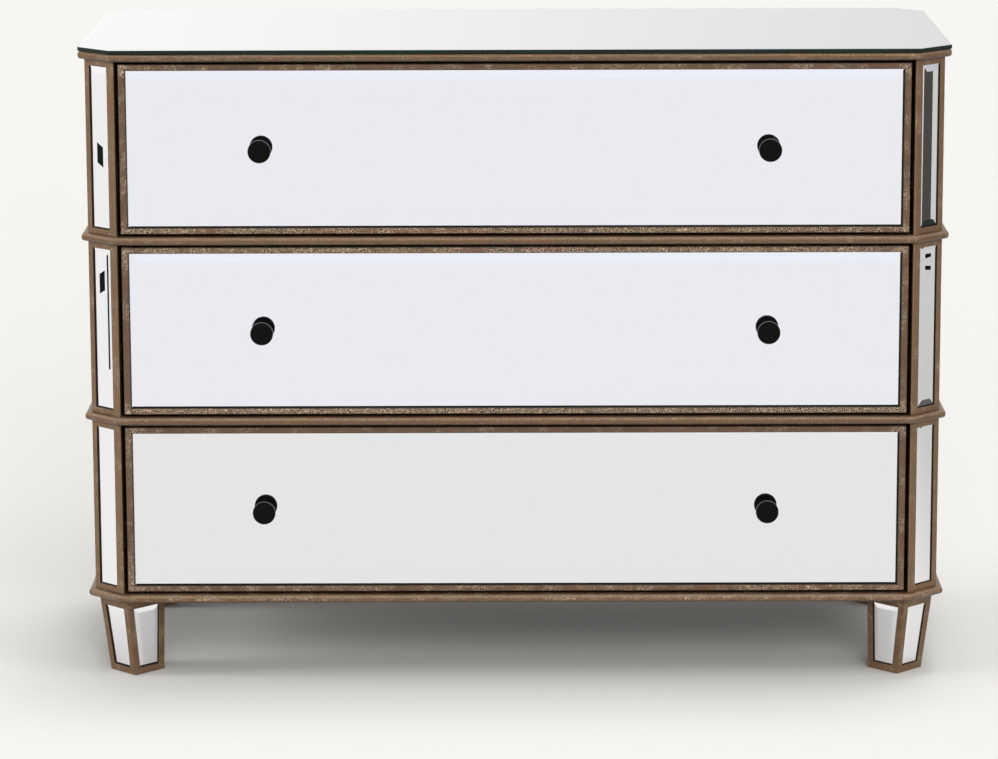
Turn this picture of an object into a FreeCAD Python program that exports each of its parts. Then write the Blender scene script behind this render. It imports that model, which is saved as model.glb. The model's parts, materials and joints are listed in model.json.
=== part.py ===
"""Mirrored three-drawer chest with canted corners, on four tapered feet.

Millimetres, +Z up, the drawers open towards -Y. The origin is the middle of
the footprint's box (knobs included) on the floor. Each function builds the
solids of one sub-assembly, and main() writes one STEP file per node.
"""
import FreeCAD
import Part
import math
import os

V = FreeCAD.Vector
SQRT2 = math.sqrt(2.0)
SIDES = (("left", -1), ("right", 1))
ENDS = (("front", -1), ("rear", 1))

# ---- carcass ---------------------------------------------------------------
BODY_W = 1084.0          # carcass width, without the mouldings
BODY_D = 452.0           # front plane to back plane
CANT = 38.0              # how far each corner is cut back, along both sides
TIER_H = 222.0           # clear height of one drawer tier
TIER_NAMES = ("bottom", "middle", "top")
BOARD_T = 10.0           # horizontal boards, and the mouldings on their edges
PANEL_T = 12.0           # side panels behind their mirrors
BACK_T = 6.0             # back panel
BACK_MARGIN = 2.0        # wood left between the back panel and the mouldings
POST_D = 65.0            # depth of a corner post, front to back
POST_FLAT = 2.0          # narrow flat of a post beside the drawers
POST_RETURN = 6.0        # post face that shows on the side of the chest
LIP_W = 30.0             # inward lip of a rear post, which the back is screwed to
LIP_T = 12.0             # thickness of that lip

# ---- mouldings -------------------------------------------------------------
MOULD_PROUD = 8.0        # how far a moulding stands out of the carcass
NOSE_R = 4.0             # rounding of its nose

# ---- mirror work -----------------------------------------------------------
GLASS_T = 4.0            # mirror glass
BEVEL_DROP = 0.9         # how much thinner the glass is at its ground edge
RECESS = 3.0             # mirror face behind the face of its frame
SLIM_RECESS = 1.0        # the same in the canted corners, where it is nearly flush
MIRROR_CLEAR = 0.3       # slack between a mirror and its frame, all round
BEVEL_W = 10.5           # ground bevel on drawer and side mirrors
SLIM_BEVEL_W = 8.5       # ground bevel on the narrow corner mirrors
RAIL_W = 8.0             # top and bottom members of every mirror frame
STILE_W = 9.0            # upright members, also the outer stile of a corner
INNER_STILE_W = 11.5     # canted part of the corner stile beside the drawers
ARRIS_R = 1.0            # softened edges of frames and posts

# ---- top -------------------------------------------------------------------
TOP_GLASS_T = 6.0
TOP_BEVEL_W = 7.0
TOP_BEVEL_DROP = 1.0

# ---- drawers ---------------------------------------------------------------
GAP_X = 5.0              # drawer front to corner post
GAP_Z = 3.5              # drawer front to the boards above and below
FRONT_BOARD_T = 12.0
SIDE_T = 12.0            # drawer sides and back
BOX_LIFT = 20.0          # drawer side above the lower edge of the front
BOX_DROP = 45.0          # drawer side below the upper edge of the front
BOTTOM_T = 5.0
BOTTOM_RISE = 10.0       # drawer bottom above the lower edge of the sides
GROOVE = 6.0             # depth of the groove that holds the bottom
REAR_CLEAR = 10.0        # closed drawer to the rear posts' lips

# ---- runners ---------------------------------------------------------------
RUNNER_W = 12.7          # space for a pair of runner members beside the drawer
RUNNER_H = 35.0
RUNNER_RISE = 50.0       # runner centre above the lower edge of the drawer side
RUNNER_INSET = 3.0       # runner ends, in from the ends of the drawer side
STEEL_T = 1.2
RUNNER_CLEAR = 0.4       # between the two members

# ---- knobs -----------------------------------------------------------------
KNOB_SPACING = 640.0     # centre to centre
KNOB_R = 14.5
KNOB_L = 27.0            # mirror face to the crown
KNOB_HEAD_L = 9.0        # rim of the head, front to back
KNOB_CROWN = 1.5         # doming of the front
KNOB_NECK_R = 5.5
KNOB_BASE_R = 8.0
KNOB_BASE_L = 4.0
SCREW_R = 2.0
SCREW_HEAD_R = 4.0
SCREW_HEAD_L = 2.4
SCREW_BITE = 12.0        # length of screw inside the knob
SCREW_CLEAR = 0.25       # screw in the front board and in the mirror
THREAD_CLEAR = 0.05      # screw or bolt in its thread

# ---- feet ------------------------------------------------------------------
FOOT_H = 102.0
FOOT_TOP_W = 56.0        # across the canted face
FOOT_TOP_D = 63.5        # from the canted face inwards
FOOT_SOLE_W = 49.0
FOOT_SOLE_D = 49.5
FOOT_SET = 6.5           # foot behind the plane of the canted corner, at its top
FOOT_STILE_W = 10.0
FOOT_RAIL_W = 10.0
FOOT_HEAD_W = 13.0       # upper member, partly hidden under the moulding
FOOT_GLASS_T = 3.0
FOOT_RECESS = 2.0
FOOT_BEVEL_W = 6.0
BOLT_R = 4.0
BOLT_BITE = 32.0         # length of bolt inside the foot
BOLT_END = 2.0           # bolt above its nut
NUT_FLATS = 13.0
NUT_H = 6.5
WASHER_R = 8.5
WASHER_T = 1.6
WASHER_GAP = 1.5         # washer to the corner post

# ---- back panel screws -----------------------------------------------------
BACK_SCREW_R = 1.6
BACK_SCREW_HEAD_R = 3.4
BACK_SCREW_BITE = 10.0   # length of screw in the wood behind the panel
BACK_SCREW_MARGIN = 55.0 # outer screws of a tier, from its boards
EDGE_SCREW_SPACING = 300.0

# ---- planes that follow from the sizes above --------------------------------
CANT_OUT = V(1, -1, 0).normalize()           # faces out of the right front corner
BACK_EDGE = 4                                # edge of the plan that is the back
FACE_T = RECESS + GLASS_T                    # thickness of a mirror frame
HALF_W = BODY_W / 2
CORNER_X = HALF_W - CANT                     # front plane to canted face
OPEN_HALF = CORNER_X - POST_FLAT             # half the drawer opening
KNOB_PROUD = KNOB_L - RECESS                 # knobs in front of the front plane
FRONT_REACH = max(KNOB_PROUD, MOULD_PROUD)
Y_FRONT = (FRONT_REACH - BODY_D) / 2
Y_BACK = Y_FRONT + BODY_D
Y_PANEL = Y_FRONT + CANT + POST_RETURN       # front end of a side panel
Y_PANEL_END = Y_BACK - CANT - POST_RETURN
TIER_STEP = TIER_H + BOARD_T
TIERS = len(TIER_NAMES)
PANEL_IN = HALF_W - FACE_T - PANEL_T         # inner face of a side panel
BACK_HALF = CORNER_X - FACE_T * SQRT2 - BACK_MARGIN
LIP_IN = OPEN_HALF - LIP_W
Y_LIP = Y_BACK - BACK_T - LIP_T
Y_BOX = Y_FRONT + FACE_T + FRONT_BOARD_T     # front end of the drawer sides
Y_BOX_END = Y_LIP - REAR_CLEAR
SIDE_OUT = OPEN_HALF - RUNNER_W              # outer face of a drawer side
SIDE_IN = SIDE_OUT - SIDE_T


def board_floor(level):
    """Underside of horizontal board 0 (base) to TIERS (top)."""
    return FOOT_H + level * TIER_STEP


def tier_floor(tier):
    """Top of the board that a tier stands on."""
    return board_floor(tier) + BOARD_T


# ---- geometry helpers --------------------------------------------------------
def box(x0, x1, y0, y1, z0, z1):
    """A block between two corners, given in any order."""
    low = V(min(x0, x1), min(y0, y1), min(z0, z1))
    return Part.makeBox(abs(x1 - x0), abs(y1 - y0), abs(z1 - z0), low)


def polygon_face(points):
    return Part.Face(Part.makePolygon(list(points) + [points[0]]))


def prism(points, reach):
    """A polygon pushed along the vector reach."""
    return polygon_face(points).extrude(reach)


def solid_through(rings):
    """A closed solid through polygons of equal length, capped at both ends."""
    faces = [polygon_face(rings[0]), polygon_face(rings[-1])]
    for lower, upper in zip(rings, rings[1:]):
        for i in range(len(lower)):
            j = (i + 1) % len(lower)
            faces.append(polygon_face([lower[i], lower[j], upper[j], upper[i]]))
    solid = Part.makeSolid(Part.makeShell(faces))
    if solid.Volume < 0:
        solid.reverse()
    return solid


def facing(points, outward):
    """The polygon's corners, anticlockwise when seen from outward."""
    turn = V(0, 0, 0)
    for i, point in enumerate(points):
        turn += (points[i - 1] - points[0]).cross(point - points[0])
    return list(points) if turn.dot(outward) > 0 else list(reversed(points))


def inset(points, distances, outward):
    """Move each edge of an anticlockwise polygon inwards by its own distance.

    Edge i runs from corner i to corner i + 1. A negative distance grows it.
    """
    count = len(points)
    runs = [(points[(i + 1) % count] - points[i]).normalize() for i in range(count)]
    inward = [outward.cross(run) for run in runs]
    moved = []
    for i, corner in enumerate(points):
        along = runs[i] * (distances[i - 1] / runs[i].dot(inward[i - 1]))
        across = runs[i - 1] * (distances[i] / runs[i - 1].dot(inward[i]))
        moved.append(corner + along + across)
    return moved


def bevelled_plate(corners, outward, thickness, drop, bevel):
    """A glass plate whose front face lies on corners, ground down at its edge."""
    loop = facing(corners, outward)
    back = [c - outward * thickness for c in loop]
    edge = [c - outward * drop for c in loop]
    return solid_through([back, edge, inset(loop, [bevel] * len(loop), outward)])


def same_edge(a, b, p, q):
    """Whether the two pairs of points name the same edge."""
    near = 1e-4
    straight = a.distanceToPoint(p) < near and b.distanceToPoint(q) < near
    return straight or (a.distanceToPoint(q) < near and b.distanceToPoint(p) < near)


def soften(solid, radius, lines):
    """Fillet the edges of a solid that run between the given pairs of points."""
    picked = []
    for edge in solid.Edges:
        a, b = edge.Vertexes[0].Point, edge.Vertexes[-1].Point
        if any(same_edge(a, b, p, q) for p, q in lines):
            picked.append(edge)
    return solid.makeFillet(radius, picked)


def drill(solid, tools):
    """Cut each tool out of the solid."""
    for tool in tools:
        solid = solid.cut(tool)
    return solid


def at_corner(solid, sx, sy):
    """A solid made at the right front corner, turned over to corner sx, sy."""
    if sx < 0:
        solid = solid.mirror(V(0, 0, 0), V(1, 0, 0))
    if sy > 0:
        solid = solid.mirror(V(0, (Y_FRONT + Y_BACK) / 2, 0), V(0, 1, 0))
    return solid


# ---- the eight-sided plan ----------------------------------------------------
def outline(grow, z):
    """Corners of the carcass plan, grown all round except at the back."""
    plan = [(-CORNER_X, Y_FRONT), (CORNER_X, Y_FRONT),
            (HALF_W, Y_FRONT + CANT), (HALF_W, Y_BACK - CANT),
            (CORNER_X, Y_BACK), (-CORNER_X, Y_BACK),
            (-HALF_W, Y_BACK - CANT), (-HALF_W, Y_FRONT + CANT)]
    points = [V(x, y, z) for x, y in plan]
    distances = [0.0 if i == BACK_EDGE else -grow for i in range(len(plan))]
    return inset(points, distances, V(0, 0, 1))


def plan_slab(grow, z0, z1):
    """A board of the carcass plan between two heights."""
    return prism(outline(grow, z0), V(0, 0, z1 - z0))


def moulding(level):
    """Seven mitred sticks round the front, the sides and the four corners."""
    z0 = board_floor(level)
    outer = outline(MOULD_PROUD, z0)
    inner = outline(-FACE_T, z0)
    rise = V(0, 0, BOARD_T)
    nose = min(NOSE_R, 0.48 * BOARD_T)
    sticks = []
    for i in range(len(outer)):
        if i == BACK_EDGE:
            continue
        j = (i + 1) % len(outer)
        stick = prism([outer[i], outer[j], inner[j], inner[i]], rise)
        edges = [(outer[i], outer[j]), (outer[i] + rise, outer[j] + rise)]
        sticks.append(soften(stick, nose, edges))
    return sticks


# ---- framed mirrors -----------------------------------------------------------
def frame_hole(corners, outward):
    """The opening of a rectangular frame whose face has the given corners.

    Corners 0 to 1 and 2 to 3 are its level edges, as seen from outward.
    """
    return inset(corners, [RAIL_W, STILE_W, RAIL_W, STILE_W], outward)


def frame_sticks(corners, outward):
    """Four mitred sticks round a rectangle, which face outward."""
    hole = frame_hole(corners, outward)
    arris = min(ARRIS_R, 0.4 * FACE_T)
    sticks = []
    for i in range(4):
        j = (i + 1) % 4
        stick = prism([corners[i], corners[j], hole[j], hole[i]], outward * -FACE_T)
        edges = [(corners[i], corners[j]), (hole[i], hole[j])]
        sticks.append(soften(stick, arris, edges))
    return sticks


def mirror_in(hole, outward, bevel, recess=RECESS):
    """The bevelled mirror that fits a frame's opening."""
    edge = inset(hole, [MIRROR_CLEAR] * 4, outward)
    front = [c - outward * recess for c in edge]
    return bevelled_plate(front, outward, GLASS_T, BEVEL_DROP, bevel)


# ---- carcass -------------------------------------------------------------------
def back_screw(x, z, slack):
    """A countersunk screw in the back, or with slack the hole for it."""
    inwards = V(0, -1, 0)
    start = V(x, Y_BACK, z)
    cone = BACK_SCREW_HEAD_R - BACK_SCREW_R
    head = Part.makeCone(BACK_SCREW_HEAD_R + slack, BACK_SCREW_R + slack, cone, start, inwards)
    length = BACK_T + BACK_SCREW_BITE + slack
    shank = Part.makeCylinder(BACK_SCREW_R + slack, length, start, inwards)
    return head.fuse(shank)


def lip_screw_places():
    """Screws down both edges of the back, two in each tier."""
    x = (LIP_IN + BACK_HALF) / 2
    rows = []
    for tier in range(TIERS):
        z0 = tier_floor(tier)
        rows += [z0 + BACK_SCREW_MARGIN, z0 + TIER_H - BACK_SCREW_MARGIN]
    return [(side * x, z) for z in rows for _, side in SIDES]


def divider_screw_places(level):
    """Screws through the back into the rear edge of a divider."""
    z = board_floor(level) + BOARD_T / 2
    return [(step * EDGE_SCREW_SPACING, z) for step in (-1, 0, 1)]


def back_screw_places():
    places = lip_screw_places()
    for level in range(1, TIERS):
        places += divider_screw_places(level)
    return places


def back_panel():
    panel = box(-BACK_HALF, BACK_HALF, Y_BACK - BACK_T, Y_BACK,
                tier_floor(0), board_floor(TIERS))
    return drill(panel, [back_screw(x, z, THREAD_CLEAR) for x, z in back_screw_places()])


def foot_bolt_hole():
    """The right front foot's bolt hole in the bottom board."""
    return Part.makeCylinder(BOLT_R + SCREW_CLEAR, BOARD_T, bolt_axis(board_floor(0)))


def bottom_board():
    board = plan_slab(-FACE_T, board_floor(0), tier_floor(0))
    hole = foot_bolt_hole()
    return drill(board, [at_corner(hole, sx, sy) for _, sx in SIDES for _, sy in ENDS])


def top_board():
    return plan_slab(-FACE_T, board_floor(TIERS), tier_floor(TIERS))


def divider(level):
    """A dust board between the corner posts, from the moulding to the back."""
    z0, z1 = board_floor(level), tier_floor(level)
    reach = box(-OPEN_HALF, OPEN_HALF, Y_FRONT, Y_LIP, z0, z1)
    tail = box(-LIP_IN, LIP_IN, Y_LIP, Y_BACK - BACK_T, z0, z1)
    board = plan_slab(-FACE_T, z0, z1).common(reach.fuse(tail).removeSplitter())
    pilots = [back_screw(x, z, THREAD_CLEAR) for x, z in divider_screw_places(level)]
    return drill(board, pilots)


def waist_housing(level):
    """The band that a waist moulding takes out of the corner posts."""
    z0, z1 = board_floor(level), tier_floor(level)
    return plan_slab(MOULD_PROUD, z0, z1).cut(plan_slab(-FACE_T, z0, z1))


def cant_hole(tier):
    """Corners of the mirror opening in the right front canted face."""
    along = V(1, 1, 0).normalize()
    start = V(CORNER_X, Y_FRONT, tier_floor(tier))
    near = start + along * INNER_STILE_W
    far = start + along * (CANT * SQRT2 - STILE_W)
    low = V(0, 0, RAIL_W)
    high = V(0, 0, TIER_H - RAIL_W)
    return [near + low, far + low, far + high, near + high]


def corner_post(sx, sy):
    """A post from base to top, housed for the mouldings and the mirrors."""
    inside = Y_FRONT + POST_D
    plan = [(CORNER_X, Y_FRONT), (HALF_W, Y_FRONT + CANT), (HALF_W, Y_PANEL),
            (PANEL_IN, Y_PANEL), (PANEL_IN, inside), (OPEN_HALF, inside)]
    if sy < 0:
        plan.append((OPEN_HALF, Y_FRONT))
    else:                                    # the rear posts carry the back's lip
        lip_back = Y_FRONT + BACK_T
        lip_front = lip_back + LIP_T
        plan += [(OPEN_HALF, lip_front), (LIP_IN, lip_front), (LIP_IN, lip_back),
                 (BACK_HALF, lip_back), (BACK_HALF, Y_FRONT)]
    z0, z1 = tier_floor(0), board_floor(TIERS)
    post = prism([V(x, y, z0) for x, y in plan], V(0, 0, z1 - z0))
    if sy < 0:
        arris = (V(OPEN_HALF, Y_FRONT, z0), V(OPEN_HALF, Y_FRONT, z1))
        post = soften(post, min(ARRIS_R, 0.45 * POST_FLAT), [arris])
    depth = SLIM_RECESS + GLASS_T
    pockets = [prism(cant_hole(tier), CANT_OUT * -depth) for tier in range(TIERS)]
    post = at_corner(drill(post, pockets), sx, sy)
    post = drill(post, [waist_housing(level) for level in range(1, TIERS)])
    if sy > 0:
        places = [(x, z) for x, z in lip_screw_places() if x * sx > 0]
        post = drill(post, [back_screw(x, z, THREAD_CLEAR) for x, z in places])
    return post


def corner_mirrors(sx, sy):
    plates = [mirror_in(cant_hole(tier), CANT_OUT, SLIM_BEVEL_W, SLIM_RECESS)
              for tier in range(TIERS)]
    return [at_corner(plate, sx, sy) for plate in plates]


def side_panel(side):
    return box(side * PANEL_IN, side * (HALF_W - FACE_T), Y_PANEL, Y_PANEL_END,
               tier_floor(0), board_floor(TIERS))


def side_rectangle(side, tier):
    """Outer corners of a side frame, level edges first, facing outwards."""
    x = side * HALF_W
    y0, y1 = Y_PANEL, Y_PANEL_END
    if side < 0:
        y0, y1 = y1, y0
    z0 = tier_floor(tier)
    z1 = z0 + TIER_H
    return [V(x, y0, z0), V(x, y1, z0), V(x, y1, z1), V(x, y0, z1)]


def side_frames(side):
    outward = V(side, 0, 0)
    sticks = []
    for tier in range(TIERS):
        sticks += frame_sticks(side_rectangle(side, tier), outward)
    return sticks


def side_mirrors(side):
    outward = V(side, 0, 0)
    holes = [frame_hole(side_rectangle(side, tier), outward) for tier in range(TIERS)]
    return [mirror_in(hole, outward, BEVEL_W) for hole in holes]


def glass_top():
    corners = outline(MOULD_PROUD, tier_floor(TIERS) + TOP_GLASS_T)
    return bevelled_plate(corners, V(0, 0, 1), TOP_GLASS_T, TOP_BEVEL_DROP, TOP_BEVEL_W)


# ---- feet, made at the right front corner ----------------------------------------
def foot_point(across, inwards, z):
    """A point measured from the middle of the canted face."""
    middle = V(CORNER_X + CANT / 2, Y_FRONT + CANT / 2, z)
    return middle + V(1, 1, 0).normalize() * across - CANT_OUT * inwards


def foot_ring(width, near, far, z):
    half = width / 2
    return [foot_point(-half, near, z), foot_point(half, near, z),
            foot_point(half, far, z), foot_point(-half, far, z)]


def foot_rings():
    """Corners of the sole and of the top. The inward face is upright."""
    far = FOOT_SET + FOOT_TOP_D
    sole = foot_ring(FOOT_SOLE_W, far - FOOT_SOLE_D, far, 0.0)
    top = foot_ring(FOOT_TOP_W, FOOT_SET, far, FOOT_H)
    return sole, top


def foot_faces():
    """The outer face and both side faces: corners and outward normal of each."""
    sole, top = foot_rings()
    faces = []
    for i, j in ((0, 1), (1, 2), (3, 0)):
        corners = [sole[i], sole[j], top[j], top[i]]
        outward = (corners[1] - corners[0]).cross(corners[3] - corners[0]).normalize()
        faces.append((corners, outward))
    return faces


def foot_hole(corners, outward):
    widths = [FOOT_RAIL_W, FOOT_STILE_W, FOOT_HEAD_W, FOOT_STILE_W]
    return inset(corners, widths, outward)


def bolt_axis(z):
    """A point on the bolt's axis, beside the post and on the foot's middle line."""
    x = OPEN_HALF - WASHER_R - WASHER_GAP
    return V(x, Y_FRONT + HALF_W - x, z)


def foot_block():
    """The tapered block with its mirror pockets and the bore for its bolt."""
    block = solid_through(list(foot_rings()))
    depth = FOOT_RECESS + FOOT_GLASS_T
    tools = []
    for corners, outward in foot_faces():
        tools.append(prism(foot_hole(corners, outward), outward * -depth))
    bore_z = FOOT_H - BOLT_BITE - THREAD_CLEAR
    bore_l = BOLT_BITE + THREAD_CLEAR
    tools.append(Part.makeCylinder(BOLT_R + THREAD_CLEAR, bore_l, bolt_axis(bore_z)))
    return drill(block, tools)


def foot_mirror_set():
    plates = []
    for corners, outward in foot_faces():
        edge = inset(foot_hole(corners, outward), [MIRROR_CLEAR] * 4, outward)
        front = [c - outward * FOOT_RECESS for c in edge]
        plate = bevelled_plate(front, outward, FOOT_GLASS_T, BEVEL_DROP, FOOT_BEVEL_W)
        plates.append(plate)
    return plates


def foot_bolt_set():
    """Bolt, washer and nut, the last two on top of the bottom board."""
    seat = tier_floor(0)
    z0 = FOOT_H - BOLT_BITE
    length = seat + WASHER_T + NUT_H + BOLT_END - z0
    bolt = Part.makeCylinder(BOLT_R, length, bolt_axis(z0))
    bore = Part.makeCylinder(BOLT_R + THREAD_CLEAR, length, bolt_axis(z0))
    washer = Part.makeCylinder(WASHER_R, WASHER_T, bolt_axis(seat))
    centre = bolt_axis(seat + WASHER_T)
    corner_r = NUT_FLATS / math.sqrt(3.0)
    hexagon = []
    for i in range(6):
        turn = math.radians(60 * i)
        hexagon.append(centre + V(math.cos(turn), math.sin(turn), 0) * corner_r)
    nut = prism(hexagon, V(0, 0, NUT_H))
    return [bolt, washer.cut(bore), nut.cut(bore)]


# ---- drawers ------------------------------------------------------------------------
def front_rectangle(tier):
    """Outer corners of a drawer front's face, level edges first."""
    x = OPEN_HALF - GAP_X
    z0 = tier_floor(tier) + GAP_Z
    z1 = tier_floor(tier) + TIER_H - GAP_Z
    return [V(-x, Y_FRONT, z0), V(x, Y_FRONT, z0), V(x, Y_FRONT, z1), V(-x, Y_FRONT, z1)]


def side_bottom(tier):
    return tier_floor(tier) + GAP_Z + BOX_LIFT


def side_top(tier):
    return tier_floor(tier) + TIER_H - GAP_Z - BOX_DROP


def knob_seats(tier):
    """Where the knobs' axes meet the face of the mirror."""
    z = tier_floor(tier) + TIER_H / 2
    return [V(side * KNOB_SPACING / 2, Y_FRONT + RECESS, z) for _, side in SIDES]


def knob_holes(tier, slack, depth):
    """Holes for the knob screws, from the mirror's face towards the inside."""
    return [Part.makeCylinder(SCREW_R + slack, depth, seat, V(0, 1, 0))
            for seat in knob_seats(tier)]


def drawer_mirror(tier):
    plate = mirror_in(frame_hole(front_rectangle(tier), V(0, -1, 0)), V(0, -1, 0), BEVEL_W)
    return drill(plate, knob_holes(tier, SCREW_CLEAR, GLASS_T))


def bottom_sheet(tier, x, y0):
    """The drawer bottom, or the groove for it, to the rear end of the sides."""
    z0 = side_bottom(tier) + BOTTOM_RISE
    return box(-x, x, y0, Y_BOX_END, z0, z0 + BOTTOM_T)


def drawer_bottom(tier):
    return bottom_sheet(tier, SIDE_IN + GROOVE, Y_BOX - GROOVE)


def drawer_front_board(tier):
    corners = [c + V(0, FACE_T, 0) for c in front_rectangle(tier)]
    board = prism(corners, V(0, FRONT_BOARD_T, 0))
    tools = [drawer_bottom(tier)]
    tools += knob_holes(tier, SCREW_CLEAR, GLASS_T + FRONT_BOARD_T)
    return drill(board, tools)


def drawer_sides(tier):
    sides = []
    for _, side in SIDES:
        plank = box(side * SIDE_IN, side * SIDE_OUT, Y_BOX, Y_BOX_END,
                    side_bottom(tier), side_top(tier))
        sides.append(plank.cut(drawer_bottom(tier)))
    return sides


def drawer_back(tier):
    z0 = side_bottom(tier) + BOTTOM_RISE + BOTTOM_T
    return box(-SIDE_IN, SIDE_IN, Y_BOX_END - SIDE_T, Y_BOX_END, z0, side_top(tier))


def channel(x_web, x_lip, height, y0, y1, z_mid):
    """A steel channel: a web at x_web with two flanges that reach to x_lip."""
    step = math.copysign(STEEL_T, x_lip - x_web)
    half = height / 2
    outer = box(x_web, x_lip, y0, y1, z_mid - half, z_mid + half)
    bore = box(x_web + step, x_lip, y0, y1, z_mid - half + STEEL_T, z_mid + half - STEEL_T)
    return outer.cut(bore)


def runner_pair(tier, side):
    """The carcass member and, nested in it, the drawer member."""
    y0 = Y_BOX + RUNNER_INSET
    y1 = Y_BOX_END - RUNNER_INSET
    z_mid = side_bottom(tier) + RUNNER_RISE
    inner_h = RUNNER_H - 2 * (STEEL_T + RUNNER_CLEAR)
    fixed = channel(side * OPEN_HALF, side * (SIDE_OUT + RUNNER_CLEAR),
                    RUNNER_H, y0, y1, z_mid)
    moving = channel(side * SIDE_OUT, side * (OPEN_HALF - STEEL_T - RUNNER_CLEAR),
                     inner_h, y0, y1, z_mid)
    return fixed, moving


def carcass_runners():
    return [runner_pair(tier, side)[0] for tier in range(TIERS) for _, side in SIDES]


def drawer_runners(tier):
    return [runner_pair(tier, side)[1] for _, side in SIDES]


def knob_profile():
    """Half of a knob's section, from its seat at the origin to its crown."""
    rim_z = KNOB_L - KNOB_CROWN
    head_back = rim_z - KNOB_HEAD_L
    rim_r = KNOB_HEAD_L / 3
    bend = rim_r * (1 - 1 / SQRT2)
    flat_r = KNOB_R - rim_r
    dome_r = (flat_r ** 2 + KNOB_CROWN ** 2) / (2 * KNOB_CROWN)
    half_way_z = KNOB_L - dome_r + math.sqrt(dome_r ** 2 - (flat_r / 2) ** 2)
    seat = V(0, 0, 0)
    base = V(KNOB_BASE_R, 0, 0)
    base_top = V(KNOB_BASE_R, 0, KNOB_BASE_L)
    waist = V(KNOB_NECK_R, 0, (KNOB_BASE_L + head_back) / 2)
    under = V(flat_r, 0, head_back)
    belly = V(KNOB_R, 0, head_back + rim_r)
    shoulder = V(KNOB_R, 0, rim_z - rim_r)
    rim = V(flat_r, 0, rim_z)
    crown = V(0, 0, KNOB_L)
    return [Part.LineSegment(seat, base),
            Part.LineSegment(base, base_top),
            Part.Arc(base_top, waist, under),
            Part.Arc(under, V(KNOB_R - bend, 0, head_back + bend), belly),
            Part.LineSegment(belly, shoulder),
            Part.Arc(shoulder, V(KNOB_R - bend, 0, rim_z - bend), rim),
            Part.Arc(rim, V(flat_r / 2, 0, half_way_z), crown),
            Part.LineSegment(crown, seat)]


def knob(seat):
    """A turned knob: base, waist and a domed head with a blind thread."""
    face = Part.Face(Part.Wire([edge.toShape() for edge in knob_profile()]))
    solid = face.revolve(V(0, 0, 0), V(0, 0, 1), 360)
    thread = Part.makeCylinder(SCREW_R + THREAD_CLEAR, SCREW_BITE + THREAD_CLEAR)
    solid = solid.cut(thread)
    solid.rotate(V(0, 0, 0), V(1, 0, 0), 90)
    solid.translate(seat)
    return solid


def knob_screw(seat):
    """A pan-head screw from inside the drawer into the knob."""
    outwards = V(0, -1, 0)
    seat_y = Y_BOX - seat.y
    start = seat + V(0, seat_y, 0)
    shank = Part.makeCylinder(SCREW_R, seat_y + SCREW_BITE, start, outwards)
    head = Part.makeCylinder(SCREW_HEAD_R, SCREW_HEAD_L, start, V(0, 1, 0))
    return shank.fuse(head).removeSplitter()


def drawer_nodes(tier):
    """Every node of one drawer, by name."""
    name = "drawer_" + TIER_NAMES[tier]
    outward = V(0, -1, 0)
    return {
        name + "_front_frame": frame_sticks(front_rectangle(tier), outward),
        name + "_mirror": [drawer_mirror(tier)],
        name + "_front_board": [drawer_front_board(tier)],
        name + "_sides": drawer_sides(tier),
        name + "_back": [drawer_back(tier)],
        name + "_bottom": [drawer_bottom(tier)],
        name + "_runners": drawer_runners(tier),
        name + "_knobs": [knob(seat) for seat in knob_seats(tier)],
        name + "_knob_screws": [knob_screw(seat) for seat in knob_seats(tier)],
    }


def carcass_nodes():
    """Every node of the carcass, by name."""
    nodes = {
        "glass_top": [glass_top()],
        "top_board": [top_board()],
        "upper_divider": [divider(2)],
        "lower_divider": [divider(1)],
        "bottom_board": [bottom_board()],
        "back_panel": [back_panel()],
        "back_panel_screws": [back_screw(x, z, 0.0) for x, z in back_screw_places()],
        "top_moulding": moulding(TIERS),
        "upper_waist_moulding": moulding(2),
        "lower_waist_moulding": moulding(1),
        "base_moulding": moulding(0),
        "carcass_runners": carcass_runners(),
    }
    for side_name, side in SIDES:
        nodes["side_panel_" + side_name] = [side_panel(side)]
        nodes["side_frames_" + side_name] = side_frames(side)
        nodes["side_mirrors_" + side_name] = side_mirrors(side)
    return nodes


def corner_nodes():
    """Posts, corner mirrors and feet, by name."""
    nodes = {}
    block = foot_block()
    bolts = []
    for end_name, sy in ENDS:
        foot_mirrors = []
        for side_name, sx in SIDES:
            corner = end_name + "_" + side_name
            nodes["corner_post_" + corner] = [corner_post(sx, sy)]
            nodes["corner_mirrors_" + corner] = corner_mirrors(sx, sy)
            nodes["foot_" + corner] = [at_corner(block, sx, sy)]
            foot_mirrors += [at_corner(plate, sx, sy) for plate in foot_mirror_set()]
            bolts += [at_corner(solid, sx, sy) for solid in foot_bolt_set()]
        nodes["foot_mirrors_" + end_name] = foot_mirrors
    nodes["foot_bolts"] = bolts
    return nodes


def main():
    os.makedirs("parts", exist_ok=True)
    nodes = carcass_nodes()
    nodes.update(corner_nodes())
    for tier in range(TIERS):
        nodes.update(drawer_nodes(tier))
    for name, solids in nodes.items():
        shape = solids[0] if len(solids) == 1 else Part.makeCompound(solids)
        shape.exportStep(os.path.join("parts", name + ".step"))


main()
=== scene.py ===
"""The finish of a mirrored three-drawer chest with canted corners.

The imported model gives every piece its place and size. This script dresses the
plain pieces and builds finer surfaces for those that show: mouldings, mitred
frames, bevelled mirrors, posts, feet, the glass top and the knobs. Lengths are
metres, +Z is up, and the drawers open towards -Y.
"""

import json
import logging
import math
from collections.abc import Iterable, Sequence
from dataclasses import dataclass, field
from enum import Enum
from typing import Any, NamedTuple

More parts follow.
